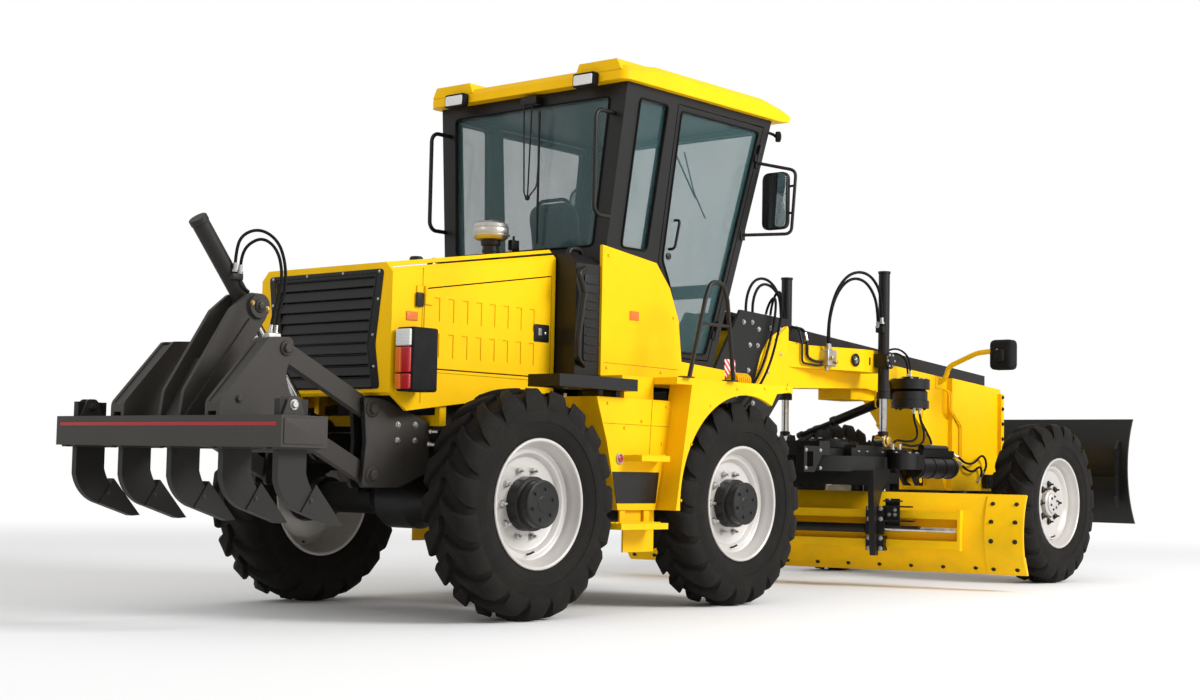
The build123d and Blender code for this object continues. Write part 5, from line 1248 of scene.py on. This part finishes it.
ripperSteel.append(brick((-1.36, -0.34, 1.474), (-1.278, -0.296, 1.512)))
makePiece("hitchHeads", hitchGrey, "chassis", "ripper_grey", 30)
makePiece("hitchFaces", hitchFaces, "chassis", "ripper_grey", 30)
makePiece("hitchBolts", hitchSteel, "chassis", "bright_steel", 30)
makePiece("ripperHeads", ripperGrey, "ripper", "ripper_grey", 30)
makePiece("ripperBolts", ripperSteel, "ripper", "bright_steel", 30)
makePiece("ripperBrassBolts", ripperBrass, "ripper", "brass", 30)
makePiece("beamStripe", [brick((-1.764, -0.905, 1.017), (-1.7615, 0.905, 1.035), 0.0008)], "ripper", "red_tape")
towerPin, ramWay = ripperSetup["towerPin"], ripperSetup["ramWay"]
barrelParts = [
    turned([(-0.56, 0.036), (-0.56, 0.049), (-0.556, 0.0515), (-0.528, 0.0515), (-0.524, 0.0485)], towerPin,
           ramWay, 40),
    turned([(0.03, 0.0485), (0.034, 0.053), (0.058, 0.053), (0.062, 0.046)], towerPin, ramWay, 40),
    brick((-1.392, -0.066, 1.8), (-1.318, -0.03, 1.838), 0.008),
    tube([(-1.33, -0.052, 1.806), (-1.322, -0.054, 1.775), (-1.27, -0.052, 1.745)], 0.008, 0.02),
]
# painted shade: the barrel's rings and hose block take the darker copy of the ripper grey
makePiece("ripperBarrelParts", barrelParts, "ripper_barrel", "ripper_painted_shade", 30)
bootPins = [bolts([(-1.502, y + side * 0.029, 0.655)], (0, side, 0), 0.01, 0.008)
            for y in ripperSetup["shanks"] for _, side in sides]
makePiece("bootPins", bootPins, "ripper", "ripper_grey", 30)
print("ripper dressed")

# front blade: bolts of its cutting edge; front axle: grease caps and their bolts
edgePlaces = [(7.452, y, 0.52) for y in np.arange(-1.08, 1.09, 0.216)]
makePiece("frontEdgeBolts", [bolts(edgePlaces, (-0.92, 0, -0.38), 0.013, 0.014)], "dozer_blade", "bright_steel", 30)
axleParts = [bolts([(5.945, side * 0.13, z) for _, side in sides for z in (0.64, 0.7)], (-1, 0, 0), 0.014, 0.012)]
for _, side in sides:
    axleParts.append(stub((6.152, side * 0.76, 0.785), up, 0.04, 0.015, 0.03, 0.006, 28))
    axleParts.append(bolts([(6.152 + 0.035 * math.cos(a), side * 0.76 + 0.035 * math.sin(a), 0.785)
                            for a in (0.8, 2.4, 3.9, 5.5)], up, 0.006, 0.006))
makePiece("frontAxleParts", axleParts, "chassis", "black_paint", 30)
print("front end dressed")

# inside the cab: two cushions swelled as cloth, on a plain base; wheel, column, levers
cushionSetup = {
    "seatCushion": {"low": (1.285, -0.225, 1.888), "high": (1.725, 0.225, 1.982), "lean": 0.0, "corner": 0.0},
    "backCushion": {"low": (1.262, -0.215, 1.985), "high": (1.345, 0.215, 2.56), "lean": 0.168, "corner": 0.13},
}
swellSetup = {"room": 0.006, "cap": 0.016, "edge": 0.022, "roll": 0.03, "voxel": 0.006, "pressure": 4,
              "tension": 12, "moments": 20}


def meshPoints(mesh):
    points = np.zeros(len(mesh.vertices) * 3)
    mesh.vertices.foreach_get("co", points)
    return points.reshape(-1, 3)


def swollenCushion(name, low, high, lean, corner):
    # a rounded block, leaned back by lean for each metre up, blown up as cloth, no point moving past the cap
    low, high = np.asarray(low) + swellSetup["room"], np.asarray(high) - swellSetup["room"]
    if corner:
        middle, size = (low + high) / 2, high - low
        points, blocks = pad(oblong(size[1], size[2], corner), (low[0], middle[1], middle[2]), (1, 0, 0), (0, 1, 0),
                             size[0], swellSetup["roll"], swellSetup["roll"])
    else:
        points, blocks = brick(low, high, swellSetup["edge"])
    points[:, 0] -= (points[:, 2] - low[2]) * lean
    piece = makePiece(name, [(points, blocks)], "chassis", "seat_cloth", 60)
    remesh = piece.modifiers.new("grid", "REMESH")
    remesh.mode = "VOXEL"
    remesh.voxel_size = swellSetup["voxel"]
    first = bpy.data.meshes.new_from_object(piece.evaluated_get(bpy.context.evaluated_depsgraph_get()))
    piece.modifiers.clear()
    piece.data = first
    cloth = piece.modifiers.new("cloth", "CLOTH")
    cloth.settings.use_pressure = True
    cloth.settings.uniform_pressure_force = swellSetup["pressure"]
    cloth.settings.effector_weights.gravity = 0
    cloth.settings.tension_stiffness = swellSetup["tension"]
    for moment in range(swellSetup["moments"]):
        bpy.context.scene.frame_set(moment + 1)
    swollen = bpy.data.meshes.new_from_object(piece.evaluated_get(bpy.context.evaluated_depsgraph_get()))
    piece.modifiers.clear()
    bpy.context.scene.frame_set(1)
    before = meshPoints(first)
    move = meshPoints(swollen) - before
    far = np.maximum(np.linalg.norm(move, axis=1, keepdims=True), 1e-9)
    placed = before + move * np.minimum(far, swellSetup["cap"]) / far
    placed[:, 2] = np.clip(placed[:, 2], low[2], None)
    first.vertices.foreach_set("co", placed.ravel())
    first.materials.clear()
    first.materials.append(finishes["seat_cloth"])
    first.polygons.foreach_set("use_smooth", np.ones(len(first.polygons), bool))
    subdivision = piece.modifiers.new("smooth", "SUBSURF")
    subdivision.levels = 1
    subdivision.render_levels = 1


for name, setup in cushionSetup.items():
    swollenCushion(name, **setup)

seatPost = (1.5, 0, 0)
seatFrame = [
    brick((1.29, -0.215, 1.855), (1.72, 0.215, 1.89), 0.012),
    turned([(1.482, 0.15), (1.6, 0.148), (1.61, 0.12), (1.845, 0.118), (1.856, 0.15)], seatPost, up, 40),
    *[turned([(z, 0.118), (z + 0.008, 0.136), (z + 0.035, 0.136), (z + 0.044, 0.118)], seatPost, up, 40)
      for z in (1.62, 1.665, 1.71, 1.755)],
    tube([(1.235, -0.16, 2.16), (1.228, -0.16, 2.48), (1.215, -0.12, 2.56), (1.215, 0.12, 2.56),
          (1.228, 0.16, 2.48), (1.235, 0.16, 2.16)], 0.012, 0.05),
    *[tube([(1.33, side * 0.245, 2.06), (1.345, side * 0.252, 2.165), (1.6, side * 0.252, 2.175)], 0.013, 0.03)
      for _, side in sides],
]
seatBase = makePiece("seatFrame", seatFrame, "chassis", "black_paint", 30)
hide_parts("seat")

wheelUp = unit(np.array([-0.6, 0.0, 0.8]))
wheelMiddle = np.array([1.96, 0.0, 2.13]) + wheelUp * 0.012
_, across, above = axesFrom(wheelUp)


def onWheel(angle, radius, lower=0.0):
    # a point of the steering wheel: middle + radius * (across * cos + above * sin), lowered along its column
    return wheelMiddle + radius * (across * np.cos(angle) + above * np.sin(angle)) - wheelUp * lower


levers = [side * y for _, side in sides for y in (0.06, 0.086, 0.112)]
steering = [
    carried(onWheel(np.linspace(0, 2 * np.pi, 64, endpoint=False)[:, None], 0.176), circleLine(0.0135, 14), True,
            wheelUp),
    *[tube([onWheel(a, 0.0, 0.012), onWheel(a, 0.09, 0.004), onWheel(a, 0.172)], 0.009, 0.02)
      for a in (0.4, 2.5, 4.6)],
    turned([(-0.03, 0.018), (-0.022, 0.04), (0.006, 0.043), (0.014, 0.034)], wheelMiddle, wheelUp, 32),
    tube([(2.012, 0, 2.03), onWheel(0.0, 0.0, 0.02)], 0.021, 0.01, 18),
    brick((1.955, -0.068, 1.486), (2.04, 0.068, 2.06), 0.02),
    brick((1.965, -0.13, 2.0), (2.035, 0.13, 2.072), 0.016),
    *[tube([(2.0, y, 2.06), (1.985, y, 2.185)], 0.005, 0.01) for y in levers],
    *[turned([(0, 0.006), (0.004, 0.012), (0.024, 0.012), (0.028, 0.006)], (1.986, y, 2.18), (-0.12, 0, 1), 14)
      for y in levers],
]
console = makePiece("steeringDressed", steering, "chassis", "seal_rubber", 30)
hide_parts("steering_console")
print("cab fitted out")

# housing ahead of the hood: grab loop, raised panel; coil on the deck; small guard under the roof's corner
coilSetup = {"start": 2.245, "long": 0.16, "turns": 7, "radius": 0.04, "middle": (0.7, 1.447)}
turns = np.linspace(0, 2 * np.pi * coilSetup["turns"], 141)
for name, side in sides:
    y, z = side * coilSetup["middle"][0], coilSetup["middle"][1]
    housing = [
        tube([(0.7, side * 0.59, 2.08), (0.7, side * 0.59, 2.16), (0.83, side * 0.59, 2.16),
              (0.83, side * 0.59, 2.08)], 0.016, 0.05),
        sidePlate((0.128, 0.52, 0.02), (0.786, 0.7, 1.74), side, 0.008, 0.004),
        *[sidePlate((0.104, 0.012, 0.004), (0.786, 0.708, rib), side, 0.006, 0.003)
          for rib in np.arange(1.53, 1.96, 0.052)],
    ]
    makePiece(f"housingParts_{name}", housing, "chassis", "black_paint", 30)
    helix = np.stack([coilSetup["start"] + coilSetup["long"] * turns / turns[-1],
                      y + coilSetup["radius"] * np.cos(turns), z + coilSetup["radius"] * np.sin(turns)], -1)
    coil = [carried(helix, circleLine(0.0066, 8), False, (1, 0, 0.01)),
            stub((2.225, y, z), (1, 0, 0), 0.024, 0.03, 0.018, 0.004, 18),
            stub((2.42, y, z), (-1, 0, 0), 0.024, 0.03, 0.018, 0.004, 18)]
    makePiece(f"deckCoil_{name}", coil, "chassis", "yellow_paint", 40)
    guard = [turned([(0, 0.03), (0.006, 0.036), (0.03, 0.036), (0.036, 0.028), (0.04, 0.01)],
                    (2.56, side * 0.8, 3.1), (0.6, side * 0.8, 0), 24),
             tube([(2.505, side * 0.77, 3.125), (2.55, side * 0.795, 3.112), (2.562, side * 0.802, 3.1)], 0.01,
                  0.01)]
    makePiece(f"cornerGuard_{name}", guard, "chassis", "lamp_plastic", 30)

# yellow side plates over the neck mount's front
mountOutline = [(3.1, 1.405), (3.47, 1.412), (3.556, 1.484), (3.556, 1.915), (3.5, 1.905), (3.3, 1.8),
                (3.205, 1.68)]
mountPlates = [pad(roundedOutline(mountOutline, 0.03, 4), (0, side * 0.25, 0), (0, side, 0), (1, 0, 0), 0.0045)
               for _, side in sides]
makePiece("mountPlates", mountPlates, "chassis", "yellow_paint", 30)
print("housing and mount dressed")

# stage: a floor shaded near the machine, a plain white surround, and two lamps
stageSetup = {"reach": 90.0, "plain": 7.0, "fade": 15.0, "floor": (0.86, 0.86, 0.86), "sky": 0.76}
lampSetup = {
    "keyLamp": {"place": (3.0, -12.5, 8.5), "aim": (0.0, 0.0, 1.0), "size": 6.0, "power": 1900},
    "rearLamp": {"place": (-12.0, 2.0, 7.0), "aim": (-1.0, 0.0, 1.0), "size": 6.0, "power": 140},
}


def stageLight(name, place, aim, size, power):
    lamp = bpy.data.lights.new(name, "AREA")
    lamp.shape = "DISK"
    lamp.size = size
    lamp.energy = power
    stand = bpy.data.objects.new(name, lamp)
    stand.location = place
    stand.rotation_euler = (Vector(aim) - Vector(place)).to_track_quat("-Z", "Y").to_euler()
    bpy.context.collection.objects.link(stand)


def dressFloor(setup):
    # shaded near the machine, plain white further out wherever the camera sees it
    mesh = bpy.data.meshes.new("floor")
    r = setup["reach"]
    mesh.from_pydata([(-r, -r, 0), (r, -r, 0), (r, r, 0), (-r, r, 0)], [], [(0, 1, 2, 3)])
    floor = bpy.data.objects.new("floor", mesh)
    bpy.context.collection.objects.link(floor)
    finish = Finish("floor_paper", {"Base Color": shade(setup["floor"]), "Roughness": 0.85})
    far = finish.node("ShaderNodeVectorMath", {"operation": "LENGTH"}, {0: finish.place}, "Value")
    fade = finish.ranged(far, setup["plain"], setup["fade"])
    seen = finish.node("ShaderNodeLightPath", {}, {}, "Is Camera Ray")
    plain = finish.node("ShaderNodeEmission", {}, {"Color": (1, 1, 1, 1), "Strength": 1.0})
    blend = finish.node("ShaderNodeMixShader", {},
                        {0: fade * seen, 1: Field(finish, finish.shader.outputs[0]), 2: plain})
    finish.tree.links.new(blend.socket, finish.tree.nodes["Material Output"].inputs["Surface"])
    mesh.materials.append(finish.material)


def dressSky(setup):
    # full white where the camera looks, also through glass, and the sky's own level for every other ray
    world = bpy.data.worlds.new("studio")
    bpy.context.scene.world = world
    world.use_nodes = True
    nodes, links = world.node_tree.nodes, world.node_tree.links
    path = nodes.new("ShaderNodeLightPath")
    looked = nodes.new("ShaderNodeMath")
    looked.operation = "ADD"
    looked.use_clamp = True
    links.new(path.outputs["Is Camera Ray"], looked.inputs[0])
    links.new(path.outputs["Is Transmission Ray"], looked.inputs[1])
    level = nodes.new("ShaderNodeMapRange")
    level.inputs["To Min"].default_value = setup["sky"]
    links.new(looked.outputs[0], level.inputs["Value"])
    links.new(level.outputs["Result"], nodes["Background"].inputs["Strength"])
    nodes["Background"].inputs["Color"].default_value = (1, 1, 1, 1)


dressFloor(stageSetup)
dressSky(stageSetup)
for name, setup in lampSetup.items():
    stageLight(name, **setup)
bpy.context.scene.view_settings.view_transform = "Standard"
print("stage dressed")
